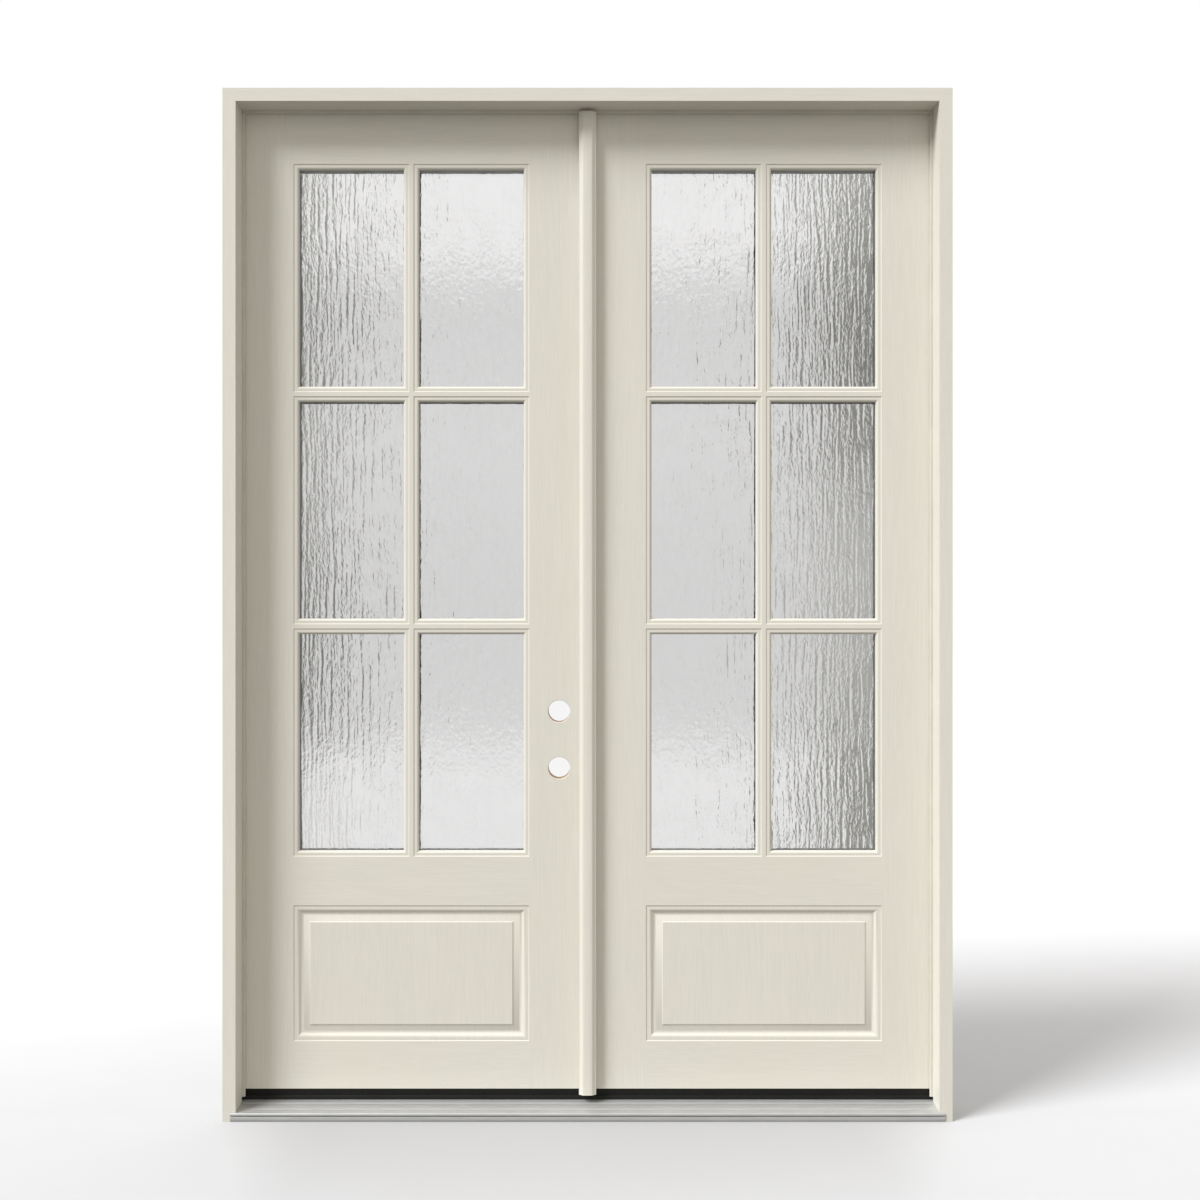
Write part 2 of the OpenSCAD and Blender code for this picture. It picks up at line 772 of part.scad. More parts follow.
// Clear way for a bolt of length l from z, with the slot for its thumb knob
module bolt_way(z0, z1, slot_z) {
    translate([bolt_x, bolt_y, z0]) cylinder(h = z1 - z0, r = bolt_r + fit);
    translate([stem_x - cut, bolt_y - knob_w / 2 - 0.3, slot_z])
        cube([bolt_x - stem_x + cut, knob_w + 0.6, bolt_slot_l]);
}

module astragal() {
    color(PAINT) difference() {
        union() {
            translate([0, 0, astragal_z]) linear_extrude(astragal_top - astragal_z) cover_outline();
            translate([stem_x, leaf_y, astragal_z]) cube([stem_t, leaf_t, stem_top - astragal_z]);
        }
        strike_plates_at(stem_x - cut, strike_plate_t + cut);
        strike_pockets();
        bolt_way(top_bolt_z - 1, stem_top + cut, top_bolt_z + 6);
        bolt_way(astragal_z - cut, bottom_bolt_z + bolt_l + 1, bottom_bolt_z + bolt_l - 6 - bolt_slot_l);
        astragal_screw_set();
    }
}

module lock_strikes() {
    color(METAL) difference() {
        strike_plates_at(stem_x, strike_plate_t);
        strike_pockets();
    }
}

module astragal_seal() {
    color(WOOD) translate([0, 0, astragal_z]) linear_extrude(astragal_top - astragal_z)
        polygon(concat([[stem_x, stop_y], [-cover_w / 2 + 1, stop_y]],
            arc([-cover_w / 2 + 4, leaf_y - 0.3 - 3], 3, 180, 90),
            [[-meet_x, leaf_y - 0.3], [stem_x, leaf_y - 2.5]]));
}

astragal_screw_y = leaf_y + 9;
module astragal_screw_set() {
    n = 8;
    for (i = [0:n - 1])
        translate([stem_x, astragal_screw_y, foot_z + 120 + (leaf_h - 240) * i / (n - 1)])
            screw(stem_t + 22, 2.3, 4.6, 2.8);
}

module astragal_screws() {
    color(METAL) astragal_screw_set();
}

// A flush bolt: a round rod with a thumb knob in the slot
module flush_bolt(z, knob_z) {
    color(METAL) {
        translate([bolt_x, bolt_y, z]) cylinder(h = bolt_l, r = bolt_r);
        translate([stem_x + 0.6, bolt_y - knob_w / 2, knob_z])
            cube([bolt_x - stem_x - 0.6, knob_w, knob_h]);
    }
}

module top_bolt() {
    flush_bolt(top_bolt_z, top_bolt_z + 8);
}

module bottom_bolt() {
    flush_bolt(bottom_bolt_z, bottom_bolt_z + bolt_l - 8 - knob_h);
}

// ---- what is drawn ----

head_jamb();
side_jamb("left");  // left_jamb
side_jamb("right");  // right_jamb
frame_screws();
sill_deck();
sill_substrate();
threshold_cap();
threshold_screws();
head_weatherstrip();
side_weatherstrip("left");  // left_weatherstrip
side_weatherstrip("right");  // right_weatherstrip
head_bolt_strike();
sill_bolt_strike();
jamb_hinge_plates("left");  // left_jamb_hinge_plates
jamb_hinge_plates("right");  // right_jamb_hinge_plates
jamb_hinge_screws("left");  // left_jamb_hinge_screws
jamb_hinge_screws("right");  // right_jamb_hinge_screws
hinge_pins("left");  // left_hinge_pins
hinge_pins("right");  // right_hinge_pins
exterior_skin("left");  // left_exterior_skin
interior_skin("left");  // left_interior_skin
hinge_stile("left");  // left_hinge_stile
lock_stile("left");  // left_lock_stile
lock_block("left");  // left_lock_block
top_rail("left");  // left_top_rail
bottom_rail("left");  // left_bottom_rail
foam_core("left");  // left_foam_core
exterior_lite_frame("left");  // left_exterior_lite_frame
interior_lite_frame("left");  // left_interior_lite_frame
exterior_pane("left");  // left_exterior_pane
interior_pane("left");  // left_interior_pane
glass_spacer("left");  // left_glass_spacer
lite_screws("left");  // left_lite_screws
door_sweep("left");  // left_door_sweep
leaf_hinge_plates("left");  // left_leaf_hinge_plates
leaf_hinge_screws("left");  // left_leaf_hinge_screws
exterior_skin("right");  // right_exterior_skin
interior_skin("right");  // right_interior_skin
hinge_stile("right");  // right_hinge_stile
lock_stile("right");  // right_lock_stile
lock_block("right");  // right_lock_block
top_rail("right");  // right_top_rail
bottom_rail("right");  // right_bottom_rail
foam_core("right");  // right_foam_core
exterior_lite_frame("right");  // right_exterior_lite_frame
interior_lite_frame("right");  // right_interior_lite_frame
exterior_pane("right");  // right_exterior_pane
interior_pane("right");  // right_interior_pane
glass_spacer("right");  // right_glass_spacer
lite_screws("right");  // right_lite_screws
door_sweep("right");  // right_door_sweep
leaf_hinge_plates("right");  // right_leaf_hinge_plates
leaf_hinge_screws("right");  // right_leaf_hinge_screws
astragal();
astragal_seal();
astragal_screws();
lock_strikes();
top_bolt();
bottom_bolt();
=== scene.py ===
"""French doors: finishes, moulded surfaces and studio, built around the fixed construction frame.

Metres. X runs left to right as seen from outside, Y from outside to inside, Z up. The origin is at
the middle of the sill base. Two glazed leaves hang in a frame of jambs, head and sill.
"""

from __future__ import annotations

import json
import logging
import math
from dataclasses import dataclass, field
from enum import Enum
from typing import Any

import bmesh
import bpy
import numpy as np
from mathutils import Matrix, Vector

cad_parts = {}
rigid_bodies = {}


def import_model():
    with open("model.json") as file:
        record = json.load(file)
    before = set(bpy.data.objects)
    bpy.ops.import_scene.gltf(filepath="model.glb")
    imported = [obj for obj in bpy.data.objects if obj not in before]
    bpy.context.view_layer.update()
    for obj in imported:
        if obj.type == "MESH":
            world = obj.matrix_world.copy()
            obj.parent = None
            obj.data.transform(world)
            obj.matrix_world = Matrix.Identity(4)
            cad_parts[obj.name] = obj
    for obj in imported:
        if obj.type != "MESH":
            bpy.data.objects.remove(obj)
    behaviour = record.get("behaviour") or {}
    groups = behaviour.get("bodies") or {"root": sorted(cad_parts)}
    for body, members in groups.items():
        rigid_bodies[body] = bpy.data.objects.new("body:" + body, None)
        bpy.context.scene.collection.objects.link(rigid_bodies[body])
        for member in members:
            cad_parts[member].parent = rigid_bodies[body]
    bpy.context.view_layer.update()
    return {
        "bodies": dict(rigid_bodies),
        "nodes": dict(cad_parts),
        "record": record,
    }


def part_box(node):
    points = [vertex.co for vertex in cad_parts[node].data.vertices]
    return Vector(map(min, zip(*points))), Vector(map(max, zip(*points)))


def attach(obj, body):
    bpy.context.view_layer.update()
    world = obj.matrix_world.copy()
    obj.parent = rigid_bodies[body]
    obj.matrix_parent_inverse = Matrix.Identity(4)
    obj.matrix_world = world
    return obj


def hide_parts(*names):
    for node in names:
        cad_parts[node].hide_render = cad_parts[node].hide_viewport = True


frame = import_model()
LOG = logging.getLogger("french_doors")

Colour = tuple[float, float, float]
Polygons = list[np.ndarray]
Span = tuple[float, float]
Stops = tuple[Span, ...]

MERGE_DISTANCE = 2e-6
TOLERANCE = 1e-9
# Places of the two inputs of a Mix node, for vectors and for colours
VECTOR_A, VECTOR_B = 4, 5
COLOUR_A, COLOUR_B = 6, 7


class Side(Enum):
    """The hand of a leaf as seen from outside."""

    LEFT = "left"
    RIGHT = "right"


class Face(Enum):
    """The two faces of a leaf."""

    EXTERIOR = "exterior"
    INTERIOR = "interior"


class Axis(Enum):
    """The direction in which an outline is extruded."""

    ACROSS = 0
    UPRIGHT = 2


class Run(Enum):
    """Which way the grain of a board runs."""

    UPRIGHT = "upright"
    LEVEL = "level"
    MARKED = "marked"


# ---------------------------------------------------------------- surfaces


def grid_quads(rows: int, columns: int, wrap_rows: bool = False, wrap_columns: bool = False) -> np.ndarray:
    """Quads between neighbouring nodes of a grid whose nodes are numbered row by row.

    Args:
        rows: nodes along the first parameter.
        columns: nodes along the second parameter.
        wrap_rows: joins the last row to the first.
        wrap_columns: joins the last column to the first.

    Returns:
        An array of node numbers, four to a quad.
    """
    i = np.arange(rows if wrap_rows else rows - 1)[:, None]
    j = np.arange(columns if wrap_columns else columns - 1)[None, :]
    i_next, j_next = (i + 1) % rows, (j + 1) % columns
    corners = [i * columns + j, i_next * columns + j, i_next * columns + j_next, i * columns + j_next]
    return np.stack(corners, -1).reshape(-1, 4)


def ogee(start: tuple[float, float], end: tuple[float, float], steps: int = 14) -> np.ndarray:
    """A smooth S from start to end: even steps in the first value, half a cosine wave in the second.

    Args:
        start: first point.
        end: last point.
        steps: number of steps between them.

    Returns:
        The points, one to a row.
    """
    t = np.linspace(0.0, 1.0, steps + 1)
    u = start[0] + (end[0] - start[0]) * t
    v = start[1] + (end[1] - start[1]) * (1.0 - np.cos(math.pi * t)) / 2.0
    return np.column_stack([u, v])


def eased(outline: np.ndarray, radius: float, steps: int = 3) -> np.ndarray:
    """Rounds each corner of a closed outline with a quadratic curve that leaves the sides smoothly.

    The curve for a corner c runs from a to b, the points on its two sides at the radius from c or
    halfway along the side if that is nearer: (1-t)^2 a + 2 t (1-t) c + t^2 b.

    Args:
        outline: corners, one to a row.
        radius: how far from each corner its curve begins.
        steps: steps along each curve.

    Returns:
        The rounded outline.
    """
    before = np.roll(outline, 1, 0) - outline
    after = np.roll(outline, -1, 0) - outline
    reach_before = np.linalg.norm(before, axis=1, keepdims=True)
    reach_after = np.linalg.norm(after, axis=1, keepdims=True)
    a = outline + before / reach_before * np.minimum(radius, reach_before * 0.49)
    b = outline + after / reach_after * np.minimum(radius, reach_after * 0.49)
    t = np.linspace(0.0, 1.0, steps + 1)[None, :, None]
    curve = (1 - t) ** 2 * a[:, None] + 2 * t * (1 - t) * outline[:, None] + t ** 2 * b[:, None]
    return curve.reshape(-1, 2)


def rectangle(u0: float, u1: float, v0: float, v1: float) -> np.ndarray:
    """The four corners of a rectangle, anticlockwise."""
    return np.array([[u0, v0], [u1, v0], [u1, v1], [u0, v1]])


@dataclass
class Surface:
    """Points and polygons gathered from whole arrays and made into one mesh object at the end."""

    points: list[np.ndarray] = field(default_factory=list)
    polygons: Polygons = field(default_factory=list)
    count: int = 0

    def add(self, points: np.ndarray, polygons: Polygons) -> None:
        """Adds points, and polygons numbered from the first of them.

        Args:
            points: any array whose last axis is x, y, z.
            polygons: arrays of node numbers, one array for each number of corners.
        """
        rows = points.reshape(-1, 3)
        self.points.append(rows)
        self.polygons.extend(p + self.count for p in polygons if len(p))
        self.count += len(rows)

    def add_extrusion(self, outline: np.ndarray, axis: Axis, start: float, end: float) -> None:
        """Adds a closed outline carried straight along an axis, with both ends capped.

        Args:
            outline: (y, z) where it runs across, (x, y) where it stands upright.
            axis: the direction of the extrusion.
            start: where it begins on that axis.
            end: where it ends.
        """
        n = len(outline)
        level = np.repeat([start, end], n)[:, None]
        both = np.tile(outline, (2, 1))
        parts = [level, both] if axis is Axis.ACROSS else [both, level]
        caps = np.stack([np.arange(n)[::-1], np.arange(n) + n])
        self.add(np.hstack(parts), [grid_quads(2, n, wrap_columns=True), caps])

    def add_lathe(self, profile: np.ndarray, centre: np.ndarray, segments: int = 32) -> None:
        """Adds a profile of (radius, height) turned about an upright axis.

        A point is centre + (r cos a, r sin a, h) for even angles a. A radius of 0 closes a pole.

        Args:
            profile: radii and heights, one to a row.
            centre: the point on the axis where heights are counted from.
            segments: steps round the axis.
        """
        angle = np.arange(segments) * (2 * math.pi / segments)
        ring = np.column_stack([np.cos(angle), np.sin(angle)])
        flat = profile[:, None, 0, None] * ring[None]
        height = np.broadcast_to(profile[:, None, 1, None], (*flat.shape[:2], 1))
        points = np.concatenate([flat, height], -1) + centre
        self.add(points, [grid_quads(len(profile), segments, wrap_columns=True)])

    def add_shell(self, front: np.ndarray, back: np.ndarray, polygons: Polygons) -> None:
        """Adds a closed shell: a front sheet, the same sheet at the back, and walls round its open edges.

        Args:
            front: points of the front sheet.
            back: the matching points of the back sheet.
            polygons: polygons of either sheet.
        """
        front, back = front.reshape(-1, 3), back.reshape(-1, 3)
        _, first, number = np.unique(np.round(front, 7), axis=0, return_index=True, return_inverse=True)
        number = number.reshape(-1)
        sheet = [number[p] for p in polygons if len(p)]
        n = len(first)
        edges = np.concatenate([np.stack([p, np.roll(p, -1, 1)], -1).reshape(-1, 2) for p in sheet])
        edges = edges[edges[:, 0] != edges[:, 1]]
        keys = np.sort(edges, 1) @ np.array([n, 1])
        _, where, times = np.unique(keys, return_index=True, return_counts=True)
        a, b = edges[where[times == 1]].T
        walls = np.stack([b, a, a + n, b + n], -1)
        self.add(np.concatenate([front[first], back[first]]),
                 sheet + [p[:, ::-1] + n for p in sheet] + [walls])

    def make(self, name: str, crease_deg: float = 32.0) -> bpy.types.Object:
        """Makes the mesh object, with its doubles merged and its faces turned outwards.

        Args:
            name: the object's name.
            crease_deg: edges that turn more than this stay sharp.

        Returns:
            The new object, linked to the scene.
        """
        places = np.concatenate(self.points)
        sizes = np.concatenate([np.full(len(p), p.shape[1]) for p in self.polygons])
        corners = np.concatenate([p.ravel() for p in self.polygons])
        mesh = bpy.data.meshes.new(name)
        mesh.vertices.add(len(places))
        mesh.vertices.foreach_set("co", places.ravel())
        mesh.loops.add(len(corners))
        mesh.loops.foreach_set("vertex_index", corners)
        mesh.polygons.add(len(sizes))
        mesh.polygons.foreach_set("loop_start", np.cumsum(sizes) - sizes)
        mesh.update(calc_edges=True)
        tidy_mesh(mesh, crease_deg)
        return linked(name, mesh)


def linked(name: str, data: bpy.types.ID) -> bpy.types.Object:
    """Makes an object from its data and links it to the scene."""
    made = bpy.data.objects.new(name, data)
    bpy.context.scene.collection.objects.link(made)
    return made


def tidy_mesh(mesh: bpy.types.Mesh, crease_deg: float, join_flats: bool = False) -> None:
    """Merges doubles, turns faces outwards, and smooths all but the sharp edges.

    Args:
        mesh: the mesh.
        crease_deg: edges that turn more than this stay sharp.
        join_flats: joins the faces that lie in one plane.
    """
    work = bmesh.new()
    work.from_mesh(mesh)
    bmesh.ops.remove_doubles(work, verts=work.verts, dist=MERGE_DISTANCE)
    if join_flats:
        bmesh.ops.dissolve_limit(work, angle_limit=math.radians(0.5), verts=work.verts, edges=work.edges)
    else:
        bmesh.ops.dissolve_degenerate(work, edges=work.edges, dist=1e-7)
    bmesh.ops.recalc_face_normals(work, faces=work.faces)
    work.to_mesh(mesh)
    work.free()
    mesh.shade_smooth()
    mesh.set_sharp_from_angle(angle=math.radians(crease_deg))


def keep_flats_flat(piece: bpy.types.Object) -> None:
    """Lets the larger face decide the normals where a flat meets a small rounding."""
    weighted = piece.modifiers.new("normals", "WEIGHTED_NORMAL")
    weighted.mode = "FACE_AREA"
    weighted.keep_sharp = True


# ---------------------------------------------------------------- shader graphs


class Graph:
    """A thin layer over a node tree: nodes are added by type, and values or sockets fed by name."""

    def __init__(self, tree: bpy.types.NodeTree) -> None:
        """Starts from an empty tree."""
        self.tree = tree
        tree.nodes.clear()

    def node(self, kind: str, settings: dict[str, Any] | None = None, **inputs: Any) -> bpy.types.Node:
        """Adds a node.

        Args:
            kind: the node's type, without the ShaderNode prefix.
            settings: properties of the node.
            inputs: values or sockets for its inputs, with _ for each space in a name.

        Returns:
            The node.
        """
        node = self.tree.nodes.new(kind if kind.startswith("Node") else "ShaderNode" + kind)
        for key, value in (settings or {}).items():
            setattr(node, key, value)
        for key, value in inputs.items():
            self.feed(node.inputs[key.replace("_", " ")], value)
        return node

    def feed(self, socket: bpy.types.NodeSocket, value: Any) -> None:
        """Links a socket to an input, or sets the input's own value."""
        if isinstance(value, bpy.types.NodeSocket):
            self.tree.links.new(value, socket)
        elif socket.type == "RGBA" and len(value) == 3:
            socket.default_value = (*value, 1.0)
        else:
            socket.default_value = value

    def math(self, operation: str, *values: Any, clamp: bool = False) -> bpy.types.NodeSocket:
        """One step of arithmetic on numbers or sockets."""
        node = self.node("Math", {"operation": operation, "use_clamp": clamp})
        for socket, value in zip(node.inputs, values):
            self.feed(socket, value)
        return node.outputs[0]

    def vector(self, operation: str, *values: Any) -> bpy.types.NodeSocket:
        """One step of vector arithmetic."""
        node = self.node("VectorMath", {"operation": operation})
        for socket, value in zip(node.inputs, values):
            self.feed(socket, value)
        return node.outputs["Value" if operation == "DOT_PRODUCT" else "Vector"]

    def ramp(self, value: Any, low: float, high: float, to_low: float = 0.0, to_high: float = 1.0,
             smooth: bool = True) -> bpy.types.NodeSocket:
        """Carries the range low..high to to_low..to_high, flat outside it."""
        node = self.node("MapRange", {"interpolation_type": "SMOOTHSTEP" if smooth else "LINEAR"},
                         Value=value, From_Min=low, From_Max=high, To_Min=to_low, To_Max=to_high)
        return node.outputs["Result"]

    def noise(self, vector: Any, scale: Any, detail: float = 2.0,
              roughness: float = 0.5) -> bpy.types.NodeSocket:
        """Fractal noise about 0.5."""
        node = self.node("TexNoise", None, Vector=vector, Scale=scale, Detail=detail, Roughness=roughness)
        return node.outputs[0]

    def blend(self, share: Any, first: Any, second: Any) -> bpy.types.NodeSocket:
        """Mixes two colours."""
        node = self.node("Mix", {"data_type": "RGBA"})
        self.feed(node.inputs["Factor"], share)
        self.feed(node.inputs[COLOUR_A], first)
        self.feed(node.inputs[COLOUR_B], second)
        return node.outputs[2]

    def place(self) -> bpy.types.NodeSocket:
        """The point on the object, in metres."""
        return self.node("TexCoord").outputs["Object"]

    def group(self, tree: bpy.types.NodeTree, **inputs: Any) -> Any:
        """Places a shared group, and gives its outputs."""
        return self.node("Group", {"node_tree": tree}, **inputs).outputs

    def close(self, base: Any, rough: Any, height: Any, depth: float, **inputs: Any) -> None:
        """Ends a material with its bump, its shader and its output.

        Args:
            base: colour.
            rough: roughness.
            height: height of the bump, from 0 to 1.
            depth: what a height of 1 measures, in metres.
            inputs: further inputs of the shader.
        """
        bump = self.node("Bump", None, Strength=1.0, Distance=depth, Height=height).outputs[0]
        shader = self.node("BsdfPrincipled", None, Base_Color=base, Roughness=rough, Normal=bump, **inputs)
        self.node("OutputMaterial", None, Surface=shader.outputs[0])


def group_tree(name: str, inputs: dict[str, tuple[str, Any]],
               outputs: dict[str, str]) -> tuple[Graph, Any, Any]:
    """Starts a shader node group.

    Args:
        name: the group's name.
        inputs: socket type and default value by input name.
        outputs: socket type by output name.

    Returns:
        The graph, its input node and its output node.
    """
    tree = bpy.data.node_groups.new(name, "ShaderNodeTree")
    for key, (kind, value) in inputs.items():
        socket = tree.interface.new_socket(name=key, in_out="INPUT", socket_type="NodeSocket" + kind)
        if value is not None:
            socket.default_value = value
    for key, kind in outputs.items():
        tree.interface.new_socket(name=key, in_out="OUTPUT", socket_type="NodeSocket" + kind)
    graph = Graph(tree)
    return graph, graph.node("NodeGroupInput"), graph.node("NodeGroupOutput")


class Effects:
    """The shader groups that several finishes share. Each is built once."""

    def __init__(self) -> None:
        """Builds all groups."""
        self.grain = self._grain()
        self.mottle = self._mottle()
        self.wear = self._wear()

    @staticmethod
    def _grain() -> bpy.types.NodeTree:
        """Wood grain that runs along Z: long fibres and fine pores, gathered into bands that wander."""
        graph, given, result = group_tree(
            "wood_grain",
            {"Vector": ("Vector", None), "Fibre Width": ("Float", 0.003), "Stretch": ("Float", 30.0)},
            {"Height": "Float", "Shade": "Float"})
        per_metre = graph.math("DIVIDE", 0.5, given.outputs["Fibre Width"])
        wander = graph.noise(graph.vector("MULTIPLY", given.outputs["Vector"], (9.0, 9.0, 2.0)), 1.0, 2.0)
        shift = graph.math("MULTIPLY", graph.math("SUBTRACT", wander, 0.5), 0.022)
        sideways = graph.node("CombineXYZ", None, X=shift, Y=shift).outputs[0]
        moved = graph.vector("ADD", given.outputs["Vector"], sideways)
        along = graph.math("DIVIDE", 1.0, given.outputs["Stretch"])
        drawn_out = graph.node("CombineXYZ", None, X=1.0, Y=1.0, Z=along).outputs[0]
        drawn = graph.vector("MULTIPLY", moved, drawn_out)
        fibres = graph.noise(drawn, per_metre, 3.0, 0.6)
        pores = graph.noise(drawn, graph.math("MULTIPLY", per_metre, 3.1), 2.0, 0.55)
        bands = graph.noise(graph.vector("MULTIPLY", moved, (1.0, 1.0, 0.12)), 16.0, 2.0)
        gathered = graph.math("MULTIPLY", graph.ramp(pores, 0.50, 0.68), graph.ramp(bands, 0.35, 0.62))
        height = graph.math("SUBTRACT", fibres, graph.math("MULTIPLY", gathered, 0.55))
        graph.feed(result.inputs["Height"], height)
        graph.feed(result.inputs["Shade"], graph.ramp(height, 0.28, 0.66))
        return graph.tree

    @staticmethod
    def _mottle() -> bpy.types.NodeTree:
        """Broad and fine blotches, for small changes of colour and gloss over a face."""
        graph, given, result = group_tree(
            "mottle",
            {"Vector": ("Vector", None), "Size": ("Float", 0.2)},
            {"Broad": "Float", "Fine": "Float"})
        per_metre = graph.math("DIVIDE", 1.0, given.outputs["Size"])
        graph.feed(result.inputs["Broad"], graph.noise(given.outputs["Vector"], per_metre, 3.0, 0.55))
        fine = graph.noise(given.outputs["Vector"], graph.math("MULTIPLY", per_metre, 60.0), 3.0, 0.6)
        graph.feed(result.inputs["Fine"], fine)
        return graph.tree

    @staticmethod
    def _wear() -> bpy.types.NodeTree:
        """Where a face turns over an edge within the radius: the rounded normal leaves the true one."""
        graph, given, result = group_tree(
            "edge_wear",
            {"Vector": ("Vector", None), "Radius": ("Float", 0.0012)},
            {"Mask": "Float"})
        rounded = graph.node("Bevel", {"samples": 4}, Radius=given.outputs["Radius"]).outputs[0]
        true = graph.node("NewGeometry").outputs["Normal"]
        turn = graph.math("SUBTRACT", 1.0, graph.vector("DOT_PRODUCT", rounded, true))
        broken = graph.noise(given.outputs["Vector"], 90.0, 3.0, 0.6)
        graph.feed(result.inputs["Mask"],
                   graph.math("MULTIPLY", graph.ramp(turn, 0.02, 0.25), graph.ramp(broken, 0.42, 0.66)))
        return graph.tree


# ---------------------------------------------------------------- finishes


def new_material(name: str) -> tuple[bpy.types.Material, Graph]:
    """Makes a node material with an empty graph."""
    material = bpy.data.materials.new(name)
    material.use_nodes = True
    return material, Graph(material.node_tree)


def scaled(colour: Colour, factor: float, lift: float = 0.0) -> Colour:
    """A colour made darker or paler, and held at white."""
    return tuple(min(1.0, c * factor + lift) for c in colour)


def board_vector(graph: Graph, run: Run) -> bpy.types.NodeSocket:
    """Coordinates whose Z runs along the grain of a board.

    Args:
        graph: the material's graph.
        run: upright, level, or marked face by face in the attribute "level".

    Returns:
        The vector socket.
    """
    point = graph.place()
    if run is Run.UPRIGHT:
        return point
    parts = graph.node("SeparateXYZ", None, Vector=point).outputs
    turned = graph.node("CombineXYZ", None, X=parts[2], Y=parts[1], Z=parts[0]).outputs[0]
    if run is Run.LEVEL:
        return turned
    level = graph.node("Attribute", {"attribute_name": "level"}).outputs["Fac"]
    mix = graph.node("Mix", {"data_type": "VECTOR"})
    graph.feed(mix.inputs["Factor"], level)
    graph.feed(mix.inputs[VECTOR_A], point)
    graph.feed(mix.inputs[VECTOR_B], turned)
    return mix.outputs[1]


@dataclass(frozen=True)
class Paint:
    """Satin paint over wood grain or over a smooth moulding."""

    colour: Colour = (0.708, 0.688, 0.607)
    roughness: float = 0.46
    grain_depth: float = 0.00011
    grain_shade: float = 0.040
    fibre_width: float = 0.0019
    fibre_stretch: float = 34.0
    blotch_size: float = 0.22
    blotch_tint: Colour = (1.0, 0.985, 0.955)
    edge_radius: float = 0.0012
    edge_share: float = 0.4

    def material(self, name: str, effects: Effects, run: Run) -> bpy.types.Material:
        """Builds the material.

        Args:
            name: the material's name.
            effects: the shared groups.
            run: how the grain runs.

        Returns:
            The material.
        """
        material, graph = new_material(name)
        grain = graph.group(effects.grain, Vector=board_vector(graph, run), Fibre_Width=self.fibre_width,
                            Stretch=self.fibre_stretch)
        mottle = graph.group(effects.mottle, Vector=graph.place(), Size=self.blotch_size)
        wear = graph.group(effects.wear, Vector=graph.place(), Radius=self.edge_radius)
        base = graph.blend(grain["Shade"], scaled(self.colour, 1.0 - self.grain_shade),
                           scaled(self.colour, 1.0 + 0.35 * self.grain_shade))
        warm = tuple(c * k for c, k in zip(self.colour, self.blotch_tint))
        base = graph.blend(graph.ramp(mottle["Broad"], 0.40, 0.70, 0.0, 0.35), base, warm)
        base = graph.blend(graph.math("MULTIPLY", wear["Mask"], self.edge_share), base,
                           scaled(self.colour, 1.08))
        rough = graph.ramp(mottle["Fine"], 0.3, 0.7, self.roughness - 0.05, self.roughness + 0.07)
        graph.close(base, rough, grain["Height"], self.grain_depth, IOR=1.46)
        return material


@dataclass(frozen=True)
class Timber:
    """Bare laminated timber, oiled only by handling."""

    pale: Colour = (0.62, 0.44, 0.26)
    dark: Colour = (0.40, 0.24, 0.12)
    roughness: float = 0.6
    grain_depth: float = 0.0003
    fibre_width: float = 0.0022
    fibre_stretch: float = 40.0
    blotch_size: float = 0.12

    def material(self, name: str, effects: Effects, run: Run) -> bpy.types.Material:
        """Builds the material, with the grain running along the board."""
        material, graph = new_material(name)
        vector = board_vector(graph, run)
        grain = graph.group(effects.grain, Vector=vector, Fibre_Width=self.fibre_width,
                            Stretch=self.fibre_stretch)
        mottle = graph.group(effects.mottle, Vector=vector, Size=self.blotch_size)
        base = graph.blend(grain["Shade"], self.dark, self.pale)
        base = graph.blend(graph.ramp(mottle["Broad"], 0.3, 0.7, 0.0, 0.3), base, scaled(self.pale, 1.15))
        rough = graph.ramp(grain["Shade"], 0.0, 1.0, self.roughness + 0.12, self.roughness - 0.06)
        graph.close(base, rough, grain["Height"], self.grain_depth)
        return material


@dataclass(frozen=True)
class Metal:
    """Drawn or brushed metal: fine lines along one axis, smudges in the gloss, brighter worn edges."""

    colour: Colour
    roughness: float
    lines: Colour = (0.02, 1.0, 1.0)
    lines_per_metre: float = 900.0
    line_depth: float = 0.00006
    tarnish: float = 0.15
    metallic: float = 1.0
    blotch_size: float = 0.09
    edge_radius: float = 0.0008
    edge_share: float = 0.6

    def material(self, name: str, effects: Effects) -> bpy.types.Material:
        """Builds the material, with its lines along the axis whose factor in lines is small."""
        material, graph = new_material(name)
        point = graph.place()
        streaks = graph.noise(graph.vector("MULTIPLY", point, self.lines), self.lines_per_metre, 3.0, 0.6)
        mottle = graph.group(effects.mottle, Vector=point, Size=self.blotch_size)
        wear = graph.group(effects.wear, Vector=point, Radius=self.edge_radius)
        dull = scaled(self.colour, 1.0 - self.tarnish)
        base = graph.blend(graph.ramp(streaks, 0.3, 0.7), dull, self.colour)
        base = graph.blend(graph.ramp(mottle["Broad"], 0.45, 0.75, 0.0, 0.5), base, dull)
        base = graph.blend(graph.math("MULTIPLY", wear["Mask"], self.edge_share), base,
                           scaled(self.colour, 1.2))
        drawn = graph.ramp(streaks, 0.3, 0.7, self.roughness - 0.05, self.roughness + 0.05)
        rough = graph.math("ADD", drawn, graph.ramp(mottle["Fine"], 0.35, 0.7, 0.0, 0.06))
        graph.close(base, rough, streaks, self.line_depth, Metallic=self.metallic)
        return material


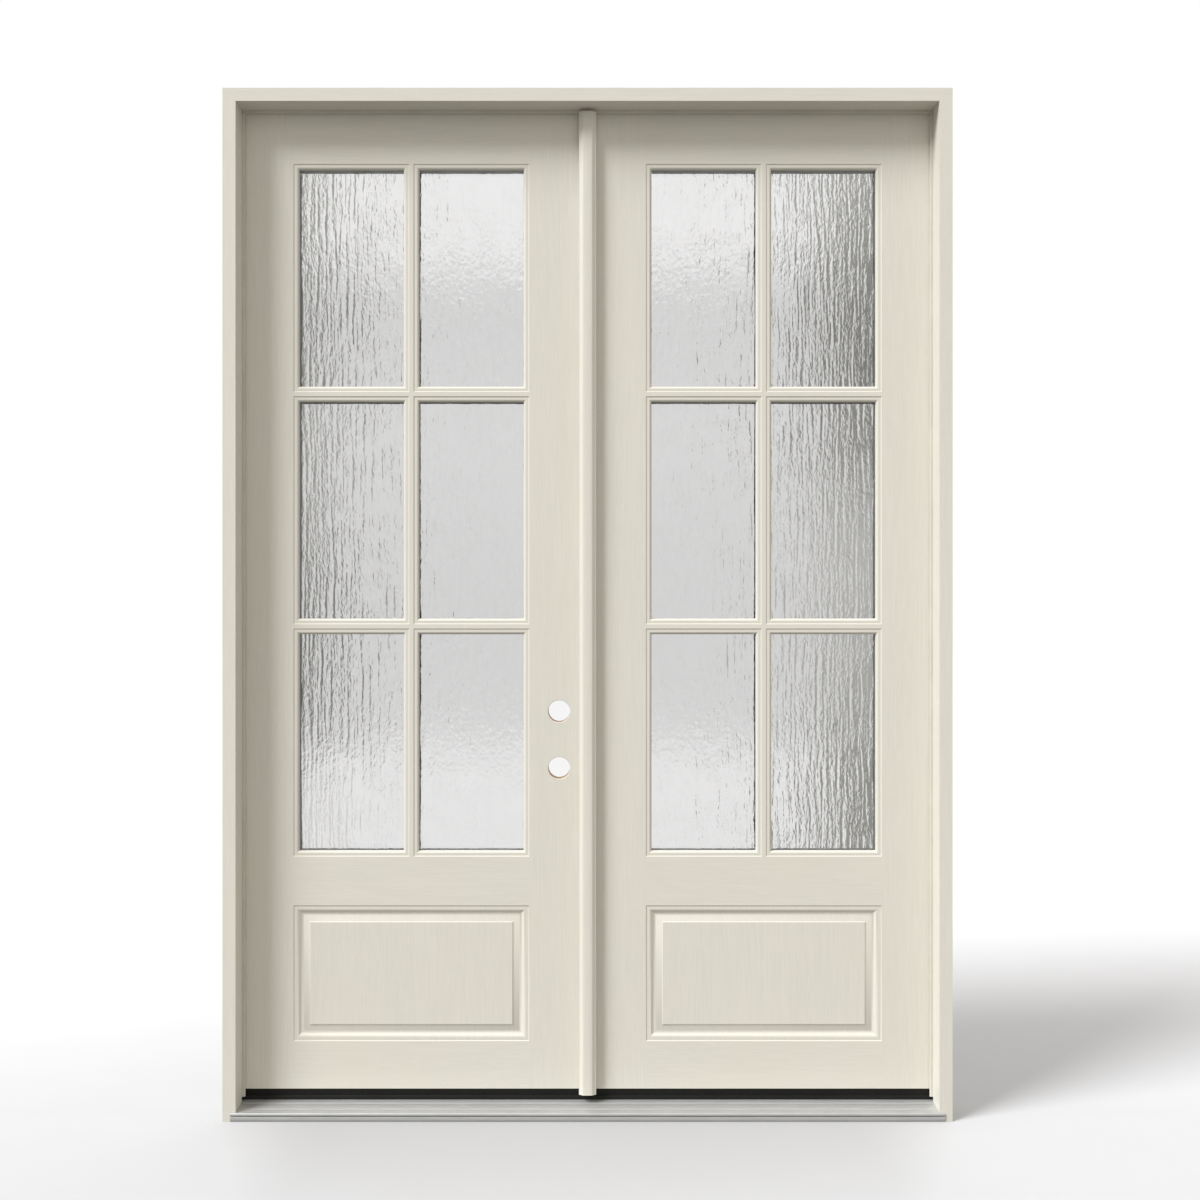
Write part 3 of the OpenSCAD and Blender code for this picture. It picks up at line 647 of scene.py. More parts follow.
@dataclass(frozen=True)
class Moulded:
    """Plain moulded or extruded material, such as vinyl, composite or foam, with a fine skin."""

    colour: Colour
    roughness: float
    pit_size: float = 0.0012
    pit_depth: float = 0.00008
    variation: float = 0.25
    specular: float = 0.5
    blotch_size: float = 0.08
    edge_radius: float = 0.0007
    edge_share: float = 0.5

    def material(self, name: str, effects: Effects) -> bpy.types.Material:
        """Builds the material."""
        material, graph = new_material(name)
        point = graph.place()
        mottle = graph.group(effects.mottle, Vector=point, Size=self.blotch_size)
        wear = graph.group(effects.wear, Vector=point, Radius=self.edge_radius)
        pits = graph.noise(point, 0.5 / self.pit_size, 3.0, 0.65)
        deep = scaled(self.colour, 1.0 - self.variation)
        base = graph.blend(graph.ramp(mottle["Broad"], 0.3, 0.7), deep, self.colour)
        base = graph.blend(graph.ramp(pits, 0.55, 0.75, 0.0, 0.35), base, deep)
        base = graph.blend(graph.math("MULTIPLY", wear["Mask"], self.edge_share), base,
                           scaled(self.colour, 1.5, 0.02))
        rough = graph.ramp(mottle["Fine"], 0.3, 0.7, self.roughness - 0.06, self.roughness + 0.08)
        graph.close(base, rough, pits, self.pit_depth, Specular_IOR_Level=self.specular)
        return material


@dataclass(frozen=True)
class Glass:
    """Float glass, or glass rolled with the small dimples between its rivulets."""

    tint: Colour = (0.968, 0.963, 0.962)
    roughness: float = 0.0
    haze: float = 0.012
    dimple_size: float = 0.006
    dimple_depth: float = 0.0
    dimple_squash: Colour = (1.0, 1.0, 0.45)
    patches_per_metre: float = 24.0

    def material(self, name: str) -> bpy.types.Material:
        """Builds the material, with dimples that are stronger in some patches than in others."""
        material, graph = new_material(name)
        point = graph.place()
        dimples = graph.noise(graph.vector("MULTIPLY", point, self.dimple_squash), 0.5 / self.dimple_size,
                              3.0, 0.55)
        patches = graph.noise(point, self.patches_per_metre, 2.0, 0.6)
        ripple = graph.math("MULTIPLY", dimples, graph.ramp(patches, 0.35, 0.65, 0.45, 1.35))
        rough = graph.ramp(graph.noise(point, 3.0, 2.0, 0.5), 0.4, 0.75, self.roughness,
                           self.roughness + self.haze)
        graph.close(self.tint, rough, ripple, self.dimple_depth, IOR=1.5, Transmission_Weight=1.0)
        return material


class Palette:
    """Every finish of the doors, by the record's slot name."""

    def __init__(self, effects: Effects) -> None:
        """Builds the materials.

        Args:
            effects: the shared shader groups.
        """
        board = Paint()
        moulding = Paint(roughness=0.42, grain_depth=0.00003, grain_shade=0.02)
        vinyl = Moulded((0.007, 0.007, 0.005), 0.65, specular=0.25)
        foam = Moulded((0.80, 0.72, 0.48), 0.9, pit_size=0.0009, variation=0.12)
        seal = Moulded((0.61, 0.59, 0.51), 0.7, variation=0.08)
        sill = Metal((0.60, 0.602, 0.592), 0.43, metallic=0.55)
        spacer = Metal((0.40, 0.41, 0.38), 0.5, metallic=0.4)
        rain = Glass(dimple_depth=0.0013, dimple_size=0.0055, roughness=0.02)
        upright_paint = board.material("painted_upright", effects, Run.UPRIGHT)
        level_paint = board.material("painted_level", effects, Run.LEVEL)
        self.by_slot: dict[str, bpy.types.Material] = {
            "painted_jamb": upright_paint,
            "painted_astragal": upright_paint,
            "painted_skin": board.material("painted_skin", effects, Run.MARKED),
            "painted_moulding": moulding.material("painted_moulding", effects, Run.UPRIGHT),
            "core_timber": Timber().material("timber_upright", effects, Run.UPRIGHT),
            "foam": foam.material("foam", effects),
            "rain_glass": rain.material("rain_glass"),
            "clear_glass": Glass().material("clear_glass"),
            "spacer_metal": spacer.material("spacer_metal", effects),
            "mill_aluminium": sill.material("mill_aluminium", effects),
            "sill_composite": Moulded((0.16, 0.15, 0.14), 0.7).material("sill_composite", effects),
            "black_cap": Moulded((0.007, 0.007, 0.006), 0.55, specular=0.3).material("black_cap", effects),
            "black_vinyl": vinyl.material("black_vinyl", effects),
            "weatherstrip_foam": seal.material("weatherstrip", effects),
            "satin_steel": Metal((0.56, 0.54, 0.50), 0.34, (1.0, 1.0, 0.03)).material("satin_steel", effects),
            "screw_steel": Metal((0.62, 0.60, 0.55), 0.3).material("screw_steel", effects),
        }
        level_timber = Timber().material("timber_level", effects, Run.LEVEL)
        self.slots = {part["node"]: part["material_slot"] for part in frame["record"]["subparts"]}
        self.level_boards = {node: level_timber for node in self.slots if node.endswith("_rail")}
        self.level_boards["head_jamb"] = level_paint

    def finish(self, node: str) -> bpy.types.Material:
        """The finish of a CAD node, by its slot in the record and the way its board lies."""
        return self.level_boards.get(node, self.by_slot[self.slots[node]])

    def dress_frame(self) -> None:
        """Puts a finish on every carried-over node."""
        for name in self.slots:
            node = frame["nodes"][name]
            for place in node.material_slots:
                place.material = self.finish(name)
            LOG.info("%-28s keeps its shape, finished as %s", node.name, self.finish(name).name)

    def dress(self, piece: bpy.types.Object, node: str) -> None:
        """Puts a new piece in the place of a CAD node: its body, its slot in the record, its finish."""
        carrier = frame["nodes"][node].parent
        body = next(name for name, rider in frame["bodies"].items() if rider == carrier)
        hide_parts(node)
        piece.data.materials.clear()
        piece.data.materials.append(self.finish(node))
        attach(piece, body)
        LOG.info("%-28s %7d faces on %s", piece.name, len(piece.data.polygons), body)


# ---------------------------------------------------------------- leaves


@dataclass(frozen=True)
class Hand:
    """Where one face of a leaf stands: u in from the hinge edge, v behind the face, w up from the foot."""

    hinge_x: float
    face_y: float
    foot_z: float
    u_sign: float
    v_sign: float

    def world(self, u: np.ndarray, v: np.ndarray, w: np.ndarray) -> np.ndarray:
        """Points of the shared frame from whole arrays of u, v and w."""
        u, v, w = np.broadcast_arrays(u, v, w)
        return np.stack([self.hinge_x + self.u_sign * u, self.face_y + self.v_sign * v, self.foot_z + w], -1)


@dataclass
class Leaf:
    """One leaf: its two moulded skins, two glazing frames and rain glass. Sizes are in metres."""

    side: Side
    palette: Palette
    seed: int
    panel_z: float = 0.1176
    panel_h: float = 0.3346
    skin_t: float = 0.0024
    edge_r: float = 0.0014
    edge_inset: float = 0.00015
    rim_w: float = 0.0142
    crest_w: float = 0.0106
    columns: int = 2
    rows: int = 3
    leg_w: float = 0.0049
    bore_patch: float = 0.036
    bore_ease: float = 0.0012

    def __post_init__(self) -> None:
        """Reads the leaf's places from the frame."""
        name = self.side.value
        low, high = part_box(f"{name}_exterior_skin")
        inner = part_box(f"{name}_interior_skin")[1]
        lite_low, lite_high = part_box(f"{name}_exterior_lite_frame")
        pane_low, pane_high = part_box(f"{name}_exterior_pane")
        self.width, self.height = high.x - low.x, high.z - low.z
        self.thickness = inner.y - low.y
        hinge_x = low.x if self.side is Side.LEFT else high.x
        u_sign = 1.0 if self.side is Side.LEFT else -1.0
        self.hands = {Face.EXTERIOR: Hand(hinge_x, low.y, low.z, u_sign, 1.0),
                      Face.INTERIOR: Hand(hinge_x, inner.y, low.z, u_sign, -1.0)}
        self.lite_u = min(abs(lite_low.x - hinge_x), abs(lite_high.x - hinge_x))
        self.lite_w, self.lite_h = lite_high.x - lite_low.x, lite_high.z - lite_low.z
        self.lite_z = lite_low.z - low.z
        self.pane_v = pane_low.y - low.y
        self.pane_t = pane_high.y - pane_low.y
        self.pane_u = min(abs(pane_low.x - hinge_x), abs(pane_high.x - hinge_x))
        self.pane_z = pane_low.z - low.z

    def build(self) -> None:
        """Builds and dresses both faces and the glass."""
        for face in Face:
            self.build_skin(face)
            self.build_lite_frame(face)
        self.build_rain_pane()

    # -- skins

    def lip_line(self) -> np.ndarray:
        """The edge that panel and glazing share: a rounded step down, and a narrow crowned lip."""
        return np.array([[0.0, 0.0], [0.20, 0.07], [0.45, 0.32], [0.95, 1.05], [1.30, 1.44], [1.70, 1.64],
                         [2.30, 1.72], [4.60, 1.62], [7.20, 1.45]]) / 1000

    def panel_line(self) -> np.ndarray:
        """The raised panel's section: the lip, an ogee down, the bevel and the field's edge."""
        bevel = np.array([[23.8, 7.05], [24.4, 7.00], [25.2, 6.80], [40.0, 2.10], [40.4, 1.90],
                          [41.2, 0.65], [41.6, 0.33], [42.2, 0.20]]) / 1000
        return np.vstack([self.lip_line(), ogee((0.0088, 0.0015), (0.0226, 0.0070)), bevel])

    def bores(self) -> list[tuple[float, float, float]]:
        """Middle and radius of each lock bore, as u, w and r. Only the left leaf is bored."""
        if self.side is Side.RIGHT:
            return []
        hand = self.hands[Face.EXTERIOR]
        round_mounts = [m for m in frame["record"]["mounts"] if m["name"] in ("latch_bore", "deadbolt_bore")]
        return [(m["pos_m"][0] - hand.hinge_x, m["pos_m"][2] - hand.foot_z, m["dims"]["r_mm"] / 1000)
                for m in round_mounts]

    def skin_sheet(self) -> tuple[np.ndarray, np.ndarray, Polygons]:
        """The moulded face as one sheet of front points, back points and polygons.

        The flat is a grid on lines at every edge of a stile, rail, hole and bore. Near the leaf's
        edges it falls away on a quarter circle: v = r - sqrt(r^2 - (r - d)^2) at distance d from
        the edge. The panel is its section carried round a rectangle, mitred at the corners. Round
        a bore, the section of the eased edge is turned about its middle.

        Returns:
            Front points, back points, and polygons of both.
        """
        turn = self.edge_r * (1.0 - np.cos(np.linspace(0.0, math.pi / 2, 5)))
        holes = [(u, w) for u, w, _ in self.bores()]
        lite = (self.lite_u, self.lite_u + self.lite_w)
        lite_w = (self.lite_z, self.lite_z + self.lite_h)
        panel = (self.panel_z, self.panel_z + self.panel_h)
        inset = self.edge_inset
        us = np.unique(np.round(np.concatenate([
            inset + turn, self.width - inset - turn, lite,
            [u + s * self.bore_patch for u, _ in holes for s in (-1, 1)]]), 7))
        ws = np.unique(np.round(np.concatenate([
            turn, self.height - turn, panel, lite_w,
            [w + s * self.bore_patch for _, w in holes for s in (-1, 1)]]), 7))
        u, w = np.meshgrid(us, ws, indexing="ij")
        edge = np.minimum(np.minimum(u - inset, self.width - inset - u), np.minimum(w, self.height - w))
        short = np.clip(self.edge_r - edge, 0.0, self.edge_r)
        front = np.stack([u, self.edge_r - np.sqrt(self.edge_r ** 2 - short ** 2), w], -1)
        back = np.stack([u, np.full_like(u, self.skin_t), w], -1)
        mid_u, mid_w = (us[1:] + us[:-1]) / 2, (ws[1:] + ws[:-1]) / 2
        cell_u, cell_w = np.meshgrid(mid_u, mid_w, indexing="ij")

        def inside(u0: float, u1: float, w0: float, w1: float) -> np.ndarray:
            """Cells whose middle lies in a rectangle."""
            return (cell_u > u0) & (cell_u < u1) & (cell_w > w0) & (cell_w < w1)

        gone = inside(*lite, *lite_w) | inside(*lite, *panel)
        for bore_u, bore_w, _ in self.bores():
            reach = self.bore_patch
            gone |= inside(bore_u - reach, bore_u + reach, bore_w - reach, bore_w + reach)
        quads = grid_quads(len(us), len(ws))[~gone.reshape(-1)]
        fronts, backs, polygons = [front.reshape(-1, 3)], [back.reshape(-1, 3)], [quads]
        parts = [self.panel_patch()] + [self.bore_patch_sheet(*bore) for bore in self.bores()]
        for part_front, part_back, part_polygons in parts:
            start = sum(len(f) for f in fronts)
            fronts.append(part_front)
            backs.append(part_back)
            polygons.extend(p + start for p in part_polygons)
        return np.concatenate(fronts), np.concatenate(backs), polygons

    def panel_patch(self) -> tuple[np.ndarray, np.ndarray, Polygons]:
        """The raised panel: its section carried round four mitred corners, and the flat field."""
        line = self.panel_line()
        u, v = line[:, :1], line[:, 1:]
        corner_u = np.hstack([self.lite_u + u, self.lite_u + self.lite_w - u,
                              self.lite_u + self.lite_w - u, self.lite_u + u])
        corner_w = np.hstack([self.panel_z + u, self.panel_z + u,
                              self.panel_z + self.panel_h - u, self.panel_z + self.panel_h - u])
        depth = np.broadcast_to(v, corner_u.shape)
        front = np.stack([corner_u, depth, corner_w], -1).reshape(-1, 3)
        back = front + np.array([0.0, self.skin_t, 0.0])
        field_quad = np.arange(4)[None] + 4 * (len(line) - 1)
        return front, back, [grid_quads(len(line), 4, wrap_columns=True), field_quad]

    def bore_patch_sheet(self, mid_u: float, mid_w: float,
                         radius: float) -> tuple[np.ndarray, np.ndarray, Polygons]:
        """A square of the face with a round bore: turned section of the eased edge, then four polygons."""
        segments = 64
        bend = np.linspace(0.0, math.pi / 2, 5)
        r = radius + self.bore_ease * (1.0 - np.cos(bend))
        v = self.bore_ease * (1.0 - np.sin(bend))
        angle = np.arange(segments) * (2 * math.pi / segments) - math.pi * 0.75
        ring_u = mid_u + r[:, None] * np.cos(angle)
        ring_w = mid_w + r[:, None] * np.sin(angle)
        ring = np.stack([ring_u, np.broadcast_to(v[:, None], ring_u.shape), ring_w], -1).reshape(-1, 3)
        reach = self.bore_patch
        square = np.array([[mid_u - reach, 0.0, mid_w - reach], [mid_u + reach, 0.0, mid_w - reach],
                           [mid_u + reach, 0.0, mid_w + reach], [mid_u - reach, 0.0, mid_w + reach]])
        front = np.concatenate([ring, square])
        back = front.copy()
        back[:, 1] = self.skin_t
        rim_start, square_start, quarter = 4 * segments, 5 * segments, segments // 4
        steps = np.arange(quarter + 1)
        arcs = rim_start + (np.arange(4)[:, None] * quarter + steps[::-1]) % segments
        sides = np.stack([square_start + np.arange(4), square_start + (np.arange(4) + 1) % 4], -1)
        return front, back, [grid_quads(5, segments, wrap_columns=True), np.hstack([sides, arcs])]

    def build_skin(self, face: Face) -> None:
        """Builds one skin and marks the faces of its rails, where the grain runs level."""
        hand = self.hands[face]
        front, back, polygons = self.skin_sheet()
        surface = Surface()
        surface.add_shell(hand.world(*front.T), hand.world(*back.T), polygons)
        node = f"{self.side.value}_{face.value}_skin"
        piece = surface.make(f"{node}_moulded", crease_deg=28.0)
        mesh = piece.data
        middle = np.empty(len(mesh.polygons) * 3)
        mesh.polygons.foreach_get("center", middle)
        middle = middle.reshape(-1, 3)
        u = (middle[:, 0] - hand.hinge_x) * hand.u_sign
        w = middle[:, 2] - hand.foot_z
        between = (u > self.lite_u) & (u < self.lite_u + self.lite_w)
        panel = (w > self.panel_z) & (w < self.panel_z + self.panel_h)
        mark = mesh.attributes.new("level", "FLOAT", "FACE")
        mark.data.foreach_set("value", (between & ~panel).astype(np.float32))
        keep_flats_flat(piece)
        self.palette.dress(piece, node)

    # -- glazing frames

    def rim_line(self) -> np.ndarray:
        """The rim's section to the glass, with the line of its back: rows of u, front v and back v.

        Inside the lip the front falls in a quarter round: u = a + b sin t, v = c + d (1 - cos t).
        The back runs down the outside of a leg, across it, up again and level to the glass.
        """
        lip = self.lip_line()
        t = np.linspace(0.0, math.pi / 2, 11)
        round_u, round_v = 0.0078, 0.0015
        fall = np.column_stack([round_u + (self.rim_w - round_u) * np.sin(t),
                                round_v + (self.pane_v - round_v) * (1.0 - np.cos(t))])
        front = np.vstack([lip, fall])
        leg = np.array([0.0, self.leg_w, self.leg_w])
        u = np.sort(np.concatenate([front[:, 0], leg]))
        v = np.interp(u, front[:, 0], front[:, 1])
        back = np.where(u > self.leg_w - TOLERANCE, self.pane_v, self.thickness / 2)
        back[np.searchsorted(u, self.leg_w - TOLERANCE)] = self.thickness / 2
        back[0] = 0.0
        return np.column_stack([u, v, back])

    def bar_line(self) -> np.ndarray:
        """The glazing bar's section: the rim's own edge on both sides of a crest level with the leaf."""
        u, index = np.unique(self.rim_line()[:, 0], return_index=True)
        side = np.column_stack([self.crest_w / 2 + u, self.rim_line()[index, 1]])
        return np.vstack([side[::-1] * [-1.0, 1.0], side])

    def grid_lines(self, length: float, bars: int) -> tuple[np.ndarray, np.ndarray, np.ndarray]:
        """Grid lines across a glazing frame.

        Args:
            length: the frame's size along this direction.
            bars: how many bars cross it.

        Returns:
            The place of each line, the number of its point on the rim's section (past the end
            where it has none), and its height on a bar's section (the glass where it has none).
        """
        rim, bar = self.rim_line(), self.bar_line()
        n = len(rim)
        bar_w = self.crest_w + 2 * self.rim_w
        sight = length - 2 * self.rim_w
        middles = self.rim_w + (sight + bar_w) * np.arange(1, bars + 1) / (bars + 1) - bar_w / 2
        places = np.concatenate([rim[:, 0], (middles[:, None] + bar[:, 0]).ravel(), length - rim[::-1, 0]])
        numbers = np.concatenate([np.arange(n), np.full(bars * len(bar), n), np.arange(n)[::-1]])
        heights = np.concatenate([np.full(n, self.pane_v), np.tile(bar[:, 1], bars), np.full(n, self.pane_v)])
        return places, numbers, heights

    def build_lite_frame(self, face: Face) -> None:
        """Builds rim and bars as one height field over a grid.

        At a node, the rim's height is that of the nearer of its two points on the section, which
        mitres the corners; a bar's height is the higher of the two crossing bars, which runs them
        into each other; and the frame is the higher of rim and bar. A cell that is nowhere above
        the glass is left open.
        """
        rim = self.rim_line()
        x, x_number, x_bar = self.grid_lines(self.lite_w, self.columns - 1)
        z, z_number, z_bar = self.grid_lines(self.lite_h, self.rows - 1)
        number = np.minimum(x_number[:, None], z_number[None, :])
        on_rim = np.append(rim[:, 1], self.pane_v)[number]
        height = np.minimum(on_rim, np.minimum(x_bar[:, None], z_bar[None, :]))
        under = np.append(rim[:, 2], self.pane_v)[number]
        quads = grid_quads(len(x), len(z))
        raised = (height.ravel()[quads] < self.pane_v - TOLERANCE).any(1)
        hung = (under.ravel()[quads] > self.pane_v + TOLERANCE).any(1)
        quads = quads[raised | hung]
        u, w = np.meshgrid(self.lite_u + x, self.lite_z + z, indexing="ij")
        hand = self.hands[face]
        surface = Surface()
        for values, turned in ((height, False), (under, True)):
            polygons = split_folded(quads, values.ravel())
            if turned:
                polygons = [p[:, ::-1] for p in polygons]
            surface.add(hand.world(u, values, w), polygons)
        node = f"{self.side.value}_{face.value}_lite_frame"
        piece = surface.make(f"{node}_moulded", crease_deg=30.0)
        keep_flats_flat(piece)
        self.palette.dress(piece, node)

    # -- glass

    def build_rain_pane(self) -> None:
        """Builds the outer pane, whose outside face is rolled into upright rivulets.

        The face is sunk by up to half a millimetre: waves 7 to 25 mm wide that hardly change
        along their length are summed, and the sum is sharpened into ridges.
        """
        step_u, step_w = 0.002, 0.010
        span_u = self.width - 2 * self.pane_u
        span_w = self.lite_h - 2 * (self.pane_z - self.lite_z)
        u = np.linspace(self.pane_u, self.pane_u + span_u, int(span_u / step_u))
        w = np.linspace(self.pane_z, self.pane_z + span_w, int(span_w / step_w))
        uu, ww = np.meshgrid(u, w, indexing="ij")
        sunk = rivulets(uu, ww, self.seed)
        hand = self.hands[Face.EXTERIOR]
        surface = Surface()
        surface.add_shell(hand.world(uu, self.pane_v + sunk, ww),
                          hand.world(uu, np.full_like(uu, self.pane_v + self.pane_t), ww),
                          [grid_quads(len(u), len(w))])
        node = f"{self.side.value}_exterior_pane"
        piece = surface.make(f"{node}_rain", crease_deg=40.0)
        self.palette.dress(piece, node)


def split_folded(quads: np.ndarray, values: np.ndarray) -> Polygons:
    """Splits the quads of a height field that aren't flat, along the diagonal that holds the fold.

    Args:
        quads: node numbers.
        values: height of each node.

    Returns:
        The flat quads, and triangles for the folded ones.
    """
    a, b, c, d = values[quads].T
    folded = np.abs(a + c - b - d) > 1e-7
    first = np.abs(a - c) >= np.abs(b - d)
    along_ac, along_bd = quads[folded & first], quads[folded & ~first]
    triangles = np.concatenate([along_ac[:, [0, 1, 2]], along_ac[:, [0, 2, 3]],
                                along_bd[:, [0, 1, 3]], along_bd[:, [1, 2, 3]]])
    return [quads[~folded], triangles]


def rivulets(u: np.ndarray, w: np.ndarray, seed: int) -> np.ndarray:
    """How far rain glass is sunk at each point.

    Args:
        u: places across the pane.
        w: places up the pane.
        seed: start of the random waves.

    Returns:
        Depths in metres, from 0 to about 0.0006.
    """
    random = np.random.default_rng(seed)
    count, wave_depth, ridge_depth = 56, 0.00013, 0.00010
    across = random.uniform(38.0, 150.0, count)
    along = random.normal(0.0, 3.6, count)
    phase = random.uniform(0.0, 2 * math.pi, count)
    weight = (60.0 / across) ** 0.9
    bend = (0.0012 * np.sin(2 * math.pi * (w * 4.1 + u * 2.0))
            + 0.0007 * np.sin(2 * math.pi * (w * 9.7 - u * 7.0)))
    angle = 2 * math.pi * ((u + bend)[..., None] * across + w[..., None] * along) + phase
    waves = np.sin(angle) @ weight / np.linalg.norm(weight) * math.sqrt(2.0)
    few = weight[::4]
    ridged = 1.0 - np.abs(np.sin(angle[..., ::4]) @ few / np.linalg.norm(few) * math.sqrt(2.0))
    sunk = wave_depth * waves + ridge_depth * ridged
    return np.clip(sunk - sunk.min(), 0.0, 0.0011)


# ---------------------------------------------------------------- frame and hardware


def eased_copy(node: str, radius: float, palette: Palette, crease_deg: float = 35.0) -> None:
    """Makes a copy of a CAD node whose sharp edges are rounded, and puts it in the node's place.

    The copy's doubles are merged and its flat faces joined before a Bevel rounds every sharp edge.

    Args:
        node: name of the CAD node.
        radius: width of the rounding.
        palette: the finishes.
        crease_deg: edges that turn more than this are sharp.
    """
    mesh = frame["nodes"][node].data.copy()
    mesh.name = f"{node}_eased"
    tidy_mesh(mesh, crease_deg, join_flats=True)
    piece = linked(mesh.name, mesh)
    bevel = piece.modifiers.new("rounding", "BEVEL")
    bevel.width = radius
    bevel.segments = 2
    bevel.limit_method = "ANGLE"
    bevel.angle_limit = math.radians(crease_deg)
    bevel.harden_normals = True
    palette.dress(piece, node)


@dataclass
class Joinery:
    """Jambs, head and astragal, with the edges that a plane and a brush leave. Sizes are in metres."""

    palette: Palette
    board_edge: float = 0.0008
    astragal_edge: float = 0.0007

    def build(self) -> None:
        """Builds and dresses the painted boards."""
        for node in ("left_jamb", "right_jamb", "head_jamb"):
            eased_copy(node, self.board_edge, self.palette)
        eased_copy("astragal", self.astragal_edge, self.palette)


@dataclass
class Sill:
    """The aluminium deck: hemmed at its nose, sloping to the front, with grooves. Sizes are in metres."""

    palette: Palette
    nose_z: float = 0.021
    deck_z: float = 0.0274
    deck_t: float = 0.002
    nose_r: float = 0.003
    tail: float = 0.008
    grooves: int = 2
    groove_start: float = 0.016
    groove_w: float = 0.006
    groove_d: float = 0.0008
    cap_edge: float = 0.0006

    def outline(self) -> np.ndarray:
        """The deck's section in (y, z): nose, grooved top, back edge, and the hem under the nose."""
        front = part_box("left_jamb")[0].y
        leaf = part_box("left_exterior_skin")[0].y
        angle = np.linspace(math.pi, math.pi / 2, 9)
        nose = np.column_stack([front - 0.001 + self.nose_r * np.cos(angle),
                                self.nose_z - self.nose_r + self.nose_r * np.sin(angle)])
        pitch = (leaf - front - 0.0065) / self.grooves
        start = front + self.groove_start + pitch * np.arange(self.grooves)[:, None]
        y = (start + np.array([0.0, 0.0015, self.groove_w - 0.0015, self.groove_w])).ravel()
        y = np.append(y, leaf + self.tail)
        sunk = np.append(np.tile([0.0, self.groove_d, self.groove_d, 0.0], self.grooves), 0.0)
        slope = (self.deck_z - self.nose_z) / (leaf - front)
        top = np.column_stack([y, self.nose_z + (y - front) * slope - sunk])
        hem = np.array([[0.0, 18.8], [0.0, 15.2], [3.0, 14.4], [3.0, 12.2], [-1.0, 11.4], [-1.0, 4.6],
                        [0.6, 0.0], [-1.4, 0.0], [-3.0, 4.6], [-3.0, 11.9], [1.0, 13.0], [1.0, 13.6],
                        [-4.0, 15.2]]) / 1000
        under = np.vstack([top[-1] - [0.0, self.deck_t], hem + [front, 0.0]])
        return np.vstack([nose, top, under])

    def build(self) -> None:
        """Builds and dresses the deck and the threshold's cap."""
        low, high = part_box("sill_deck")
        surface = Surface()
        surface.add_extrusion(eased(self.outline(), 0.0005), Axis.ACROSS, low.x, high.x)
        piece = surface.make("sill_deck_extruded", crease_deg=26.0)
        self.palette.dress(piece, "sill_deck")
        eased_copy("threshold_cap", self.cap_edge, self.palette)


